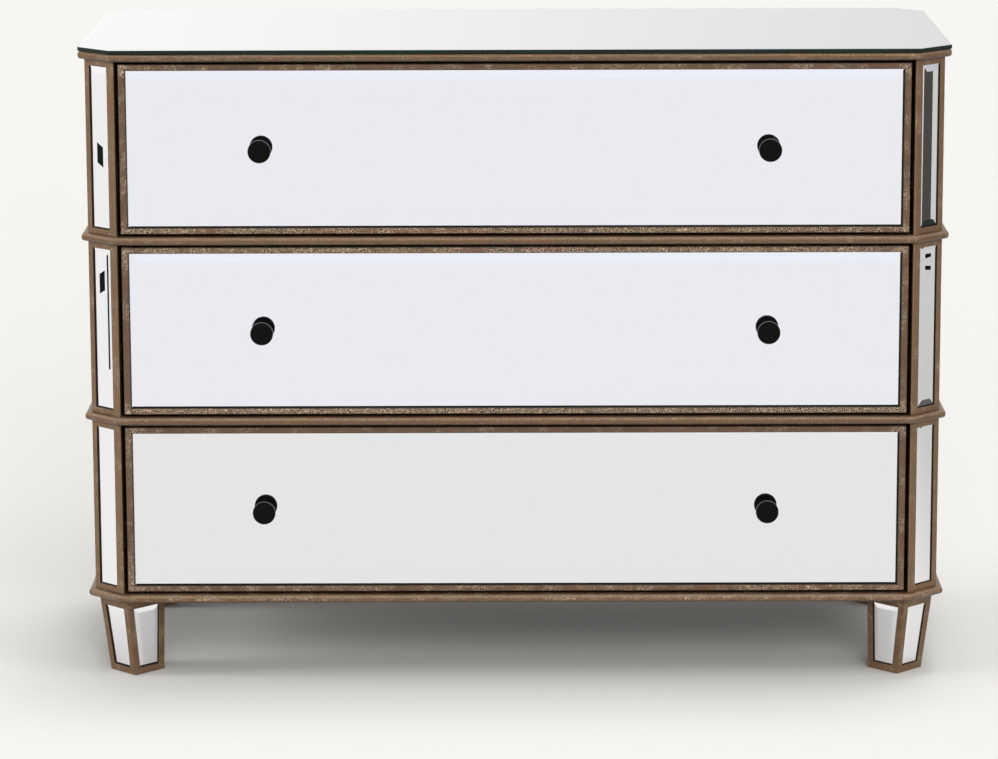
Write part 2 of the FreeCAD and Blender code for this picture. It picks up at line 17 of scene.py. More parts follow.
import bmesh
import bpy
import numpy as np
from mathutils import Matrix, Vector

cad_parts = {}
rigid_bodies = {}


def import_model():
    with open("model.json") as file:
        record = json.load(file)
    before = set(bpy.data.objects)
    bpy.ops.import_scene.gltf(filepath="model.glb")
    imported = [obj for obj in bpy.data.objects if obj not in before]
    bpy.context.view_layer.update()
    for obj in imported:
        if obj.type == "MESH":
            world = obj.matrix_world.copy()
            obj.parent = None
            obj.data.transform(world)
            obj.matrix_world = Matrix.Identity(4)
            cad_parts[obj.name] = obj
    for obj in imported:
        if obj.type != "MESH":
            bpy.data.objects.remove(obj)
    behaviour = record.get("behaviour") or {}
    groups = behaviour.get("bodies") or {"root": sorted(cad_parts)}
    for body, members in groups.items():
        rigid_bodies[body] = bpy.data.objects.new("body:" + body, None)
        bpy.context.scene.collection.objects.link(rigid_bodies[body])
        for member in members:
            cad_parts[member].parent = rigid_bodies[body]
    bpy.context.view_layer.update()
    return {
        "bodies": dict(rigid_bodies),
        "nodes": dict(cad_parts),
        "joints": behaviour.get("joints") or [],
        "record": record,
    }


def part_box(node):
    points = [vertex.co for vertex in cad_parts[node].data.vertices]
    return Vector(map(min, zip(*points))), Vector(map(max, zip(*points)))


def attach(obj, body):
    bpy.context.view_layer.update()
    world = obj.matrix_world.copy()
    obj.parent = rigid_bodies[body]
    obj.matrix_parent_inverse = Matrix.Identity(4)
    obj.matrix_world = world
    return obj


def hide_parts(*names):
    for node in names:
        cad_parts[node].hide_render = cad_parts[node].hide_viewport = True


LOG = logging.getLogger("chest")
# Up, out of the front, out of the right front canted face, and along that face.
UP = np.array([0.0, 0.0, 1.0])
OUT = np.array([0.0, -1.0, 0.0])
CANT_OUT = np.array([1.0, -1.0, 0.0]) / math.sqrt(2.0)
CANT_ALONG = np.array([1.0, 1.0, 0.0]) / math.sqrt(2.0)
TIERS = ("bottom", "middle", "top")
CORNERS = (("front", "left"), ("front", "right"), ("rear", "left"), ("rear", "right"))
BACK_EDGE = 4  # of the plan's eight edges
SHARP = math.radians(32.0)  # an edge with a greater angle stays sharp
WELD = 1e-6  # how near points lie that become one
RELIEF = 0.0003  # height of paint and pores in a material

Colour = tuple[float, float, float, float]
Material = bpy.types.Material
Socket = bpy.types.NodeSocket
Sockets = bpy.types.bpy_prop_collection
BLACK: Colour = (0.0, 0.0, 0.0, 1.0)
WHITE: Colour = (1.0, 1.0, 1.0, 1.0)


def colour(red: int, green: int, blue: int) -> Colour:
    """The linear colour of three display values.

    Args:
        red: from 0 to 255.
        green: from 0 to 255.
        blue: from 0 to 255.

    Returns:
        Linear red, green and blue, and an alpha of 1.
    """
    display = np.array([red, green, blue]) / 255.0
    linear = np.where(display <= 0.04045, display / 12.92, ((display + 0.055) / 1.055) ** 2.4)
    return (*linear.tolist(), 1.0)


# ---- surfaces -----------------------------------------------------------------
@dataclass
class Surface:
    """Points and faces, with the values that the finishes read.

    Attributes:
        points: one position a row.
        faces: the corner numbers of each face.
        finish: the number of each face's material.
        grain: distance along the piece, distance round it, and a tone of its own.
        cover: wear of an arris, painted shade in a rebate or under a nose,
        and share of crackle, each 0 to 1.
    """

    points: np.ndarray
    faces: list[tuple[int, ...]]
    finish: list[int] = field(default_factory=list)
    grain: np.ndarray | None = None
    cover: np.ndarray | None = None

    def __post_init__(self) -> None:
        """Give plain values to what was left out."""
        if not self.finish:
            self.finish = [0] * len(self.faces)
        if self.grain is None:
            x, y, z = self.points.T
            self.grain = np.column_stack([z, x + y, np.full(len(x), 0.5)])
        if self.cover is None:
            self.cover = np.zeros((len(self.points), 3))


def joined(surfaces: Sequence[Surface]) -> Surface:
    """Several surfaces as one.

    Args:
        surfaces: the surfaces, in the order that their points keep.

    Returns:
        One surface, whose faces are numbered through.
    """
    starts = np.cumsum([0] + [len(s.points) for s in surfaces[:-1]]).tolist()
    faces = [tuple(c + start for c in face) for s, start in zip(surfaces, starts) for face in s.faces]
    return Surface(
        np.concatenate([s.points for s in surfaces]),
        faces,
        [number for s in surfaces for number in s.finish],
        np.concatenate([s.grain for s in surfaces]),
        np.concatenate([s.cover for s in surfaces]),
    )


def grid_faces(rows: int, columns: int) -> list[tuple[int, ...]]:
    """Quads of a grid numbered row by row, whose last row meets the first.

    Args:
        rows: rows of points.
        columns: points in a row.

    Returns:
        The corner numbers of each quad.
    """
    i = np.arange(rows)[:, None] * columns
    k = (np.arange(1, rows + 1) % rows)[:, None] * columns
    j = np.arange(columns - 1)[None, :]
    quads = np.stack([i + j, k + j, k + j + 1, i + j + 1], axis=-1)
    return [tuple(quad) for quad in quads.reshape(-1, 4).tolist()]


def unit(vectors: np.ndarray) -> np.ndarray:
    """Each vector at length one."""
    return vectors / np.linalg.norm(vectors, axis=-1, keepdims=True)


def inset(points: np.ndarray, distances: Iterable[float], out: np.ndarray) -> np.ndarray:
    """Move every edge of a flat convex polygon inwards by its own distance.

    Edge i runs from corner i to corner i + 1. Corner i moves along its two
    edges' directions, by distance over the sine between them, so that both
    edges keep their direction. A negative distance grows the polygon.

    Args:
        points: corners, anticlockwise when seen against out.
        distances: one distance for each edge.
        out: unit normal of the polygon.

    Returns:
        The moved corners.
    """
    away = np.asarray(list(distances), float)
    runs = unit(np.roll(points, -1, axis=0) - points)
    inward = np.cross(out, runs)
    before, before_in = np.roll(runs, 1, axis=0), np.roll(inward, 1, axis=0)
    along = (np.roll(away, 1) / np.sum(runs * before_in, axis=1))[:, None] * runs
    across = (away / np.sum(before * inward, axis=1))[:, None] * before
    return points + along + across


def facing(points: np.ndarray, out: np.ndarray) -> np.ndarray:
    """A polygon's corners in the order that inset needs.

    Args:
        points: corners, either way round.
        out: unit normal of the polygon.

    Returns:
        The corners, anticlockwise when seen against out.
    """
    spokes = points - points[0]
    turn = np.cross(spokes[1:-1], spokes[2:]).sum(axis=0)
    return points if turn @ out > 0 else points[::-1]


def through_rings(rings: np.ndarray, finish: Sequence[int]) -> Surface:
    """A closed surface through rings of equal length, capped at both ends.

    Args:
        rings: positions, as rings by corners by three.
        finish: material of the first cap, of each band, and of the last cap.

    Returns:
        The closed surface.
    """
    count, corners, _ = rings.shape
    number = np.arange(count * corners).reshape(count, corners)
    after = np.roll(number, -1, axis=1)
    bands = np.stack([number[:-1], after[:-1], after[1:], number[1:]], axis=-1).reshape(-1, 4)
    faces = [tuple(number[0][::-1].tolist())] + [tuple(b) for b in bands.tolist()]
    faces.append(tuple(number[-1].tolist()))
    kinds = [finish[0]] + [k for k in finish[1:-1] for _ in range(corners)] + [finish[-1]]
    return Surface(rings.reshape(-1, 3), faces, kinds)


@dataclass(frozen=True)
class Section:
    """The section of a stick: a rectangle with its own radius at each corner.

    Attributes:
        depth: thickness, from the face backwards.
        radii: outer front, inner front, inner back and outer back corner.
        rebate: whether the inner wall of a mirror's rebate gets painted shade.
        nose_shade: whether the lower part of its nose gets painted shade.
        steps: points on each rounded corner.
        shaded: depths between which the painted shade in a rebate comes in.
        glazed: shares of the depth between which the painted shade under the nose comes in.
    """

    depth: float
    radii: tuple[float, float, float, float]
    rebate: bool = False
    nose_shade: bool = False
    steps: int = 6
    shaded: tuple[float, float] = (0.00009, 0.00039)
    glazed: tuple[float, float] = (0.62, 1.0)

    def outline(self, width: float) -> tuple[np.ndarray, np.ndarray]:
        """Points round the section, and how the paint covers them.

        Corner k has its centre one radius in from both sides. Its arc is centre
        plus radius times (cos q, sin q), while q turns back a quarter circle.
        Wear is half a wave over each corner but the inner back one.

        Args:
            width: from the outer edge to the inner edge.

        Returns:
            Points as (distance inwards, height over the face), and for each
            its wear and its painted shade, in a rebate or under the nose.
        """
        corner = np.array([[0.0, 0.0], [width, 0.0], [width, -self.depth], [0.0, -self.depth]])
        to_centre = np.array([[1.0, -1.0], [-1.0, -1.0], [-1.0, 1.0], [1.0, 1.0]])
        radius = np.array(self.radii)[:, None]
        share = np.linspace(0.0, 1.0, self.steps)
        q = math.pi - 0.5 * math.pi * (np.arange(4)[:, None] + share)
        arc = np.stack([np.cos(q), np.sin(q)], axis=-1) * radius[..., None]
        points = ((corner + to_centre * radius)[:, None, :] + arc).reshape(-1, 2)
        wear = np.tile(np.sin(math.pi * share), (4, 1))
        wear[2] = 0.0
        behind = -points[:, 1]
        # Painted shade: the inner wall of a rebate and the lower part of a nose go dark where shade
        # falls.
        inner = (points[:, 0] > 0.5 * width) & self.rebate
        shade = np.interp(behind, self.shaded, (0.0, 1.0)) * inner
        nose_shade = np.interp(behind / self.depth, self.glazed, (0.0, 1.0)) * self.nose_shade
        return points, np.column_stack([wear.ravel(), np.maximum(shade, nose_shade)])


@dataclass(frozen=True)
class Joinery:
    """How sticks are cut and laid round a polygon.

    Attributes:
        seam: half of the hairline left at every mitre.
        waver: unevenness of a hand-painted face.
        waves: height of each wave in it, its rate along the stick, and how far
            the stick's tone shifts it.
        column: spacing of the cross sections along a stick.
        end_fade: length over which the crackle fades from a mitre.
        ends: share of crackle at a mitre.
    """

    seam: float = 0.00006
    waver: float = 0.00010
    waves: tuple[tuple[float, float, float], ...] = ((1.0, 37.0, 40.0), (0.6, 83.0, 90.0))
    column: float = 0.02
    end_fade: float = 0.04
    ends: float = 0.8

    def stick(self, edge: np.ndarray, inner: np.ndarray, out: np.ndarray,
              section: Section, tone: float, share: float) -> Surface:
        """One stick with a closed section, mitred at both ends.

        A section point (a, d) at share t of the length lies at start + along * s
        + inwards * a + out * d, where s goes from the first mitre to the second
        and both mitres shift in proportion to a. The waves along s lift the
        front half of the section by the waver.

        Args:
            edge: both ends of the outer edge.
            inner: both ends of the inner edge.
            out: unit normal of the face.
            section: the stick's section.
            tone: a value from 0 to 1 that tells this stick from others.
            share: how much crackle it shows away from its ends, 0 to 1.

        Returns:
            The closed stick.
        """
        run = edge[1] - edge[0]
        length = float(np.linalg.norm(run))
        along = run / length
        step = inner[0] - edge[0]
        inwards = step - along * (step @ along)
        width = float(np.linalg.norm(inwards))
        inwards = inwards / width
        slopes = ((step @ along) / width, ((edge[1] - inner[1]) @ along) / width)
        points, cover = section.outline(width)
        a, d = points[:, 0:1], points[:, 1:2]
        columns = max(3, int(round(length / self.column)) + 1)
        t = np.linspace(0.0, 1.0, columns)[None, :]
        first, last = self.seam + slopes[0] * a, length - self.seam - slopes[1] * a
        s = first * (1.0 - t) + last * t
        wave = sum(high * np.sin(rate * s + shift * tone) for high, rate, shift in self.waves)
        lift = self.waver * wave * (d > -0.5 * section.depth)
        places = (edge[0] + s[..., None] * along + a[..., None] * inwards
                  + (d + lift)[..., None] * out)
        rows = len(points)
        faces = grid_faces(rows, columns)
        faces.append(tuple(range(0, rows * columns, columns)))
        faces.append(tuple(range(rows * columns - 1, -1, -columns)))
        around = np.concatenate([[0.0], np.cumsum(np.linalg.norm(np.diff(points, axis=0), axis=1))])
        near_end = np.clip(1.0 - np.minimum(s, length - s) / self.end_fade, 0.0, 1.0)
        crackle = np.maximum(share, self.ends * near_end)
        grain = np.stack([s, np.broadcast_to(around[:, None], s.shape), np.full(s.shape, tone)], axis=-1)
        whole = np.concatenate([np.broadcast_to(cover[:, None, :], (*s.shape, 2)),
                                crackle[..., None]], axis=-1)
        return Surface(places.reshape(-1, 3), faces, grain=grain.reshape(-1, 3),
                       cover=whole.reshape(-1, 3))

    def ring(self, outer: np.ndarray, inner: np.ndarray, out: np.ndarray, section: Section,
             tones: np.random.Generator, shares: Sequence[float],
             skip: int | None = None) -> Surface:
        """Mitred sticks round a polygon.

        Args:
            outer: corners of the outer edge.
            inner: corners of the inner edge, in the same order.
            out: unit normal of the face.
            section: the section of every stick.
            tones: source of the sticks' tones.
            shares: how much crackle each stick shows.
            skip: an edge that gets no stick.

        Returns:
            All the sticks as one surface.
        """
        sticks = []
        for i in range(len(outer)):
            if i != skip:
                pair = [i, (i + 1) % len(outer)]
                sticks.append(self.stick(outer[pair], inner[pair], out, section, tones.random(),
                                         shares[i]))
        return joined(sticks)


@dataclass(frozen=True)
class MirrorCut:
    """A mirror with a ground bevel.

    Attributes:
        thickness: of the glass.
        drop: how much thinner the glass is at its edge.
        bevel: width of the ground band.
        recess: mirror face behind the face of its frame.
        clear: slack in the frame, all round.
        rim: width of a band in the dark cut-edge material: painted shade of the rebate.
        shaded: edges of the opening that get that band of painted shade.
    """

    thickness: float = 0.004
    drop: float = 0.0009
    bevel: float = 0.0105
    recess: float = 0.003
    clear: float = 0.0003
    rim: float = 0.0012
    shaded: tuple[int, ...] = (0,)

    def plate(self, hole: np.ndarray, out: np.ndarray) -> Surface:
        """The mirror for an opening: rings at its back, edge, rim and field.

        The field is the opening moved in by the bevel and lies one recess behind
        the frame, and the edge lies lower by the drop. The rim lies between them
        in the plane of the bevel, at its own share of the bevel's width.

        Args:
            hole: corners of the opening in the face of the frame.
            out: unit normal of that face.

        Returns:
            The closed plate. Materials: 0 silvered, 1 cut edge, 2 backing.
        """
        loop = facing(hole, out)
        rim = inset(loop, [self.clear] * len(loop), out) - out * self.recess
        field_edge = inset(rim, [self.bevel] * len(rim), out)
        back, edge = rim - out * self.thickness, rim - out * self.drop
        band = edge + (field_edge - edge) * (self.rim / self.bevel)
        plate = through_rings(np.stack([back, edge, band, field_edge]), (2, 1, 0, 0, 0))
        # Painted shade: the rim band on each shaded edge takes the dark cut-edge material.
        for side in self.shaded:
            plate.finish[1 + len(loop) + side] = 1
        return plate


def outward(side: np.ndarray) -> np.ndarray:
    """The unit normal of a side whose corners run anticlockwise from outside."""
    return unit(np.cross(side[1] - side[0], side[3] - side[0]))


def framed_prism(rings: np.ndarray, framed: dict[int, tuple[Sequence[float], float]]) -> Surface:
    """A prism or frustum, some of whose sides are frames round a pocket.

    A framed side becomes four flat members, the four walls of its pocket and
    the pocket's floor, which lies behind the side by the pocket's depth.

    Args:
        rings: lower and upper ring of corners, anticlockwise from above.
        framed: for a side, its member widths (below, end, above, start) and
            the depth of its pocket.

    Returns:
        The closed surface. Materials: 0 paint, 1 pocket walls and floor, which take painted shade.
    """
    low, high = rings
    count = len(low)
    points, faces, finish = [*low, *high], [], []
    faces.append(tuple(range(count - 1, -1, -1)))
    faces.append(tuple(range(count, 2 * count)))
    finish += [0, 0]
    for i in range(count):
        j = (i + 1) % count
        side = (i, j, count + j, count + i)
        if i not in framed:
            faces.append(side)
            finish.append(0)
            continue
        widths, depth = framed[i]
        corners = np.array([points[k] for k in side])
        out = outward(corners)
        hole = inset(corners, widths, out)
        start = len(points)
        points += [*hole, *(hole - out * depth)]
        for a in range(4):
            b = (a + 1) % 4
            faces.append((side[a], side[b], start + b, start + a))
            faces.append((start + a, start + b, start + 4 + b, start + 4 + a))
            finish += [0, 1]
        faces.append(tuple(range(start + 4, start + 8)))
        finish.append(1)
    return Surface(np.array(points), faces, finish)


def lathe(profile: np.ndarray, seat: np.ndarray, axis: np.ndarray, turns: int) -> Surface:
    """A profile turned about an axis.

    Point (r, h) of the profile at turn q lies at seat + r (cos q u + sin q v)
    + h axis, where u and v are square to the axis.

    Args:
        profile: radius and height of each point, from the seat to the crown.
        seat: where the axis meets height zero.
        axis: unit vector along which the heights run.
        turns: points in a full turn.

    Returns:
        The surface, with a pole at both ends.
    """
    u = unit(np.cross(axis, UP))
    v = np.cross(axis, u)
    q = np.linspace(0.0, 2.0 * math.pi, turns, endpoint=False)[:, None, None]
    r, h = profile[None, :, 0:1], profile[None, :, 1:2]
    places = seat + r * (np.cos(q) * u + np.sin(q) * v) + h * axis
    return Surface(places.reshape(-1, 3), grid_faces(turns, len(profile)))


class Slot(Enum):
    """The record's material slots that the finer pieces use."""

    PAINT = "bronze_crackle"
    GLASS = "mirror_glass"
    LACQUER = "black_lacquer"


def make_piece(node: str, surface: Surface, materials: Sequence[Material], slot: Slot,
               body: str = "carcass", bevel: float = 0.0, weld: bool = False) -> None:
    """Turn a surface into the finer piece that stands for a CAD node.

    Shading runs over blunt edges, but not on mirrors, so that each facet of a
    ground bevel reflects by itself.

    Args:
        node: the CAD node that it stands for.
        surface: its points and faces, in place.
        materials: its materials, by the surface's finish numbers.
        slot: the record's material slot.
        body: the body that it moves with.
        bevel: width of the rounding of its sharp edges, or 0.
        weld: whether points in one place become one, as at a lathe's poles.
    """
    name, smooth = "fine_" + node, slot is not Slot.GLASS
    mesh = bpy.data.meshes.new(name)
    mesh.from_pydata(surface.points.tolist(), [], surface.faces)
    for material in materials:
        mesh.materials.append(material)
    mesh.polygons.foreach_set("material_index", surface.finish)
    for label, values in (("grain", surface.grain), ("cover", surface.cover)):
        attribute = mesh.attributes.new(label, "FLOAT_VECTOR", "POINT")
        attribute.data.foreach_set("vector", values.astype(np.float32).ravel())
    shell = bmesh.new()
    shell.from_mesh(mesh)
    if weld:
        bmesh.ops.remove_doubles(shell, verts=shell.verts, dist=WELD)
    bmesh.ops.recalc_face_normals(shell, faces=shell.faces)
    shell.to_mesh(mesh)
    shell.free()
    mesh.polygons.foreach_set("use_smooth", [smooth] * len(mesh.polygons))
    if smooth:
        mesh.set_sharp_from_angle(angle=SHARP)
    piece = bpy.data.objects.new(name, mesh)
    bpy.context.scene.collection.objects.link(piece)
    if bevel > 0.0:
        rounding = piece.modifiers.new("arris", "BEVEL")
        rounding.width = bevel
        rounding.segments = 3
        rounding.limit_method = "ANGLE"
        rounding.angle_limit = SHARP
        rounding.harden_normals = True
    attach(piece, body)
    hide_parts(node)
    LOG.info("%s: %d points on body %s for %s", name, len(mesh.vertices), body, node)


# ---- shader graphs -----------------------------------------------------------------
class Graph:
    """A short way to add nodes to a node tree and to join them."""

    def __init__(self, tree: bpy.types.NodeTree) -> None:
        """Work on the given tree."""
        self.tree = tree

    def feed(self, socket: Socket, value: Any) -> None:
        """Link a socket to an input, or set the input's own value.

        Args:
            socket: the input.
            value: another node's socket, or a constant.
        """
        if isinstance(value, bpy.types.NodeSocket):
            self.tree.links.new(value, socket)
        else:
            socket.default_value = value

    def add(self, kind: str, inputs: dict[str | int, Any] | None = None,
            **settings: Any) -> bpy.types.Node:
        """Add a node.

        Args:
            kind: the node's type.
            inputs: values or sockets for its inputs.
            settings: the node's own properties, set before its inputs.

        Returns:
            The new node.
        """
        node = self.tree.nodes.new(kind)
        for key, value in settings.items():
            setattr(node, key, value)
        for key, value in (inputs or {}).items():
            self.feed(node.inputs[key], value)
        return node

    def fill(self, node: bpy.types.Node, **values: Any) -> None:
        """Feed a node's inputs, whose names are written with underscores."""
        for key, value in values.items():
            self.feed(node.inputs[key.replace("_", " ")], value)

    def maths(self, operation: str, first: Any, second: Any) -> Socket:
        """The result of one operation on two values."""
        return self.add("ShaderNodeMath", {0: first, 1: second}, operation=operation).outputs[0]

    def times(self, first: Any, second: Any) -> Socket:
        """The product of two values."""
        return self.maths("MULTIPLY", first, second)

    def plus(self, first: Any, second: Any) -> Socket:
        """The sum of two values."""
        return self.maths("ADD", first, second)

    def vectors(self, operation: str, first: Any, second: Any) -> Socket:
        """The result of one operation on two vectors."""
        return self.add("ShaderNodeVectorMath", {0: first, 1: second}, operation=operation).outputs[0]

    def split(self, vector: Any) -> Sockets:
        """The three parts of a vector, in order."""
        return self.add("ShaderNodeSeparateXYZ", {0: vector}).outputs

    def blend(self, share: Any, first: Any, second: Any) -> Socket:
        """A mix of two colours."""
        node = self.add("ShaderNodeMix", {0: share, 6: first, 7: second}, data_type="RGBA")
        return node.outputs[2]

    def ramp(self, value: Any, low: float, high: float, to_low: float = 0.0,
             to_high: float = 1.0) -> Socket:
        """A smooth step of a value.

        Args:
            value: the value.
            low: where the step starts.
            high: where it ends.
            to_low: what it gives up to its start.
            to_high: what it gives from its end on.

        Returns:
            The step.
        """
        inputs = {"Value": value, "From Min": low, "From Max": high, "To Min": to_low, "To Max": to_high}
        return self.add("ShaderNodeMapRange", inputs, interpolation_type="SMOOTHSTEP").outputs[0]

    def noise(self, vector: Any, scale: Any, detail: float = 2.0, roughness: float = 0.5) -> Sockets:
        """Noise on a vector.

        Args:
            vector: the place.
            scale: how fine the noise is.
            detail: how many finer layers it has.
            roughness: how strong those layers are.

        Returns:
            The noise as a value and as a colour.
        """
        inputs = {"Vector": vector, "Scale": scale, "Detail": detail, "Roughness": roughness}
        return self.add("ShaderNodeTexNoise", inputs).outputs

    def relief(self, height: Any, strength: float) -> Socket:
        """The normal of a face with a fine relief."""
        inputs = {"Strength": strength, "Distance": RELIEF, "Height": height}
        return self.add("ShaderNodeBump", inputs).outputs[0]

    def object_place(self) -> Socket:
        """The place on the piece, in metres."""
        return self.add("ShaderNodeTexCoord").outputs["Object"]

    def attribute(self, name: str) -> Socket:
        """One of the piece's own attributes."""
        return self.add("ShaderNodeAttribute", attribute_name=name).outputs["Vector"]

    def group(self, tree: bpy.types.NodeTree, **inputs: Any) -> Sockets:
        """Place a node group with its own values.

        Args:
            tree: the group.
            inputs: values or sockets for its inputs.

        Returns:
            What it puts out.
        """
        node = self.tree.nodes.new("ShaderNodeGroup")
        node.node_tree = tree
        self.fill(node, **inputs)
        return node.outputs


def new_group(name: str, inputs: dict[str, float | None],
              outputs: Sequence[str]) -> tuple[bpy.types.NodeTree, Graph, Sockets, Sockets]:
    """An empty shader node group with named inputs and outputs.

    Args:
        name: the group's name.
        inputs: each input's value, or None for a vector.
        outputs: names of the float outputs.

    Returns:
        The group, a graph on it, what is given to it and what it puts out.
    """
    tree = bpy.data.node_groups.new(name, "ShaderNodeTree")
    for label, value in inputs.items():
        kind = "NodeSocketVector" if value is None else "NodeSocketFloat"
        socket = tree.interface.new_socket(label, in_out="INPUT", socket_type=kind)
        if value is not None:
            socket.default_value = value
    for label in outputs:
        tree.interface.new_socket(label, in_out="OUTPUT", socket_type="NodeSocketFloat")
    given, result = tree.nodes.new("NodeGroupInput"), tree.nodes.new("NodeGroupOutput")
    return tree, Graph(tree), given.outputs, result.inputs


class Effects:
    """Shader node groups that several finishes share, each built once.

    Attributes:
        BEND: bends of the crackle's cells to a metre, and their reach.
        PATCH: crackle patches to a metre, and the softness of their edges.
        STREAK: how close streaks lie along the piece, round it and by its tone.
        FIGURE: how far the wood's rings are drawn out along the grain.
        PORE: how close the pores lie along the grain and across it.
        SPREAD: values of a noise that become 0 and 1.
    """

    BEND = (330.0, 0.0013)
    PATCH = (48.0, 0.16)
    STREAK = (24.0, 1100.0, 57.0)
    FIGURE = (0.06, 1.0, 1.0)
    PORE = (22.0, 700.0, 700.0)
    SPREAD = (0.3, 0.7)

    def __init__(self) -> None:
        """Build every group."""
        self.crackle = self._crackle()
        self.streaks = self._streaks()
        self.mottle = self._mottle()
        self.figure = self._figure()

    def _crackle(self) -> bpy.types.NodeTree:
        """Lines along the edges of bent cells, and the flakes between, in patches.

        Returns:
            The group.
        """
        tree, g, given, result = new_group(
            "paint crackle", {"Place": None, "Cells": 260.0, "Line": 0.12, "Cover": 0.5},
            ("Lines", "Flakes"))
        place = given["Place"]
        (bends, reach), (patches, soft) = self.BEND, self.PATCH
        bend = g.vectors("SUBTRACT", g.noise(place, bends, detail=1.0)["Color"], (0.5, 0.5, 0.5))
        bent = g.vectors("ADD", place, g.vectors("MULTIPLY", bend, (reach, reach, reach)))
        inputs = {"Vector": bent, "Scale": given["Cells"], "Randomness": 1.0}
        cells = g.add("ShaderNodeTexVoronoi", inputs, feature="DISTANCE_TO_EDGE").outputs["Distance"]
        share = g.maths("DIVIDE", cells, given["Line"])
        edge = g.maths("SUBTRACT", 1.0, given["Cover"])
        patch = g.maths("SUBTRACT", g.noise(place, patches, detail=3.0, roughness=0.65)[0], edge)
        patch = g.ramp(patch, -soft, soft)
        lines = g.ramp(share, 0.4, 1.0, to_low=1.0, to_high=0.0)
        g.feed(result["Lines"], g.times(lines, patch))
        g.feed(result["Flakes"], g.times(g.ramp(share, 1.0, 3.0), patch))
        return tree

    def _streaks(self) -> bpy.types.NodeTree:
        """Brush streaks that run with the stick, from its grain attribute.

        Returns:
            The group.
        """
        tree, g, given, result = new_group("brush streaks", {"Grain": None}, ("Streak",))
        place = g.vectors("MULTIPLY", given["Grain"], self.STREAK)
        streaks = g.noise(place, 1.0, detail=3.0, roughness=0.6)[0]
        g.feed(result["Streak"], g.ramp(streaks, *self.SPREAD))
        return tree

    def _mottle(self) -> bpy.types.NodeTree:
        """Two sizes of soft blotches, one broad and one fine.

        Returns:
            The group.
        """
        tree, g, given, result = new_group(
            "mottle", {"Place": None, "Broad": 12.0, "Fine": 300.0}, ("Broad", "Fine"))
        for label, detail in (("Broad", 4.0), ("Fine", 2.0)):
            blotches = g.noise(given["Place"], given[label], detail, roughness=0.6)[0]
            g.feed(result[label], g.ramp(blotches, *self.SPREAD))
        return tree

    def _figure(self) -> bpy.types.NodeTree:
        """Wood figure along X: long rings bent by noise, and fine pores.

        Returns:
            The group.
        """
        tree, g, given, result = new_group(
            "wood figure", {"Place": None, "Rings": 60.0}, ("Rings", "Pores"))
        inputs = {"Vector": g.vectors("MULTIPLY", given["Place"], self.FIGURE),
                  "Scale": given["Rings"], "Distortion": 5.0, "Detail": 3.0, "Detail Scale": 0.8}
        rings = g.add("ShaderNodeTexWave", inputs, wave_type="BANDS", bands_direction="Z")
        pores = g.noise(g.vectors("MULTIPLY", given["Place"], self.PORE), 1.0)[0]
        g.feed(result["Rings"], rings.outputs["Fac"])
        g.feed(result["Pores"], g.ramp(pores, 0.45, 0.62))
        return tree


def new_material(name: str) -> tuple[Material, Graph, bpy.types.Node]:
    """A material with a Principled shader.

    Args:
        name: the material's name.

    Returns:
        The material, a graph on its tree, and its Principled node.
    """
    material = bpy.data.materials.new(name)
    material.use_nodes = True
    return material, Graph(material.node_tree), material.node_tree.nodes["Principled BSDF"]


class Grain(Enum):
    """The axis that a board's wood grain runs along."""

    X = (0, 1, 2)
    Y = (1, 2, 0)
    Z = (2, 0, 1)


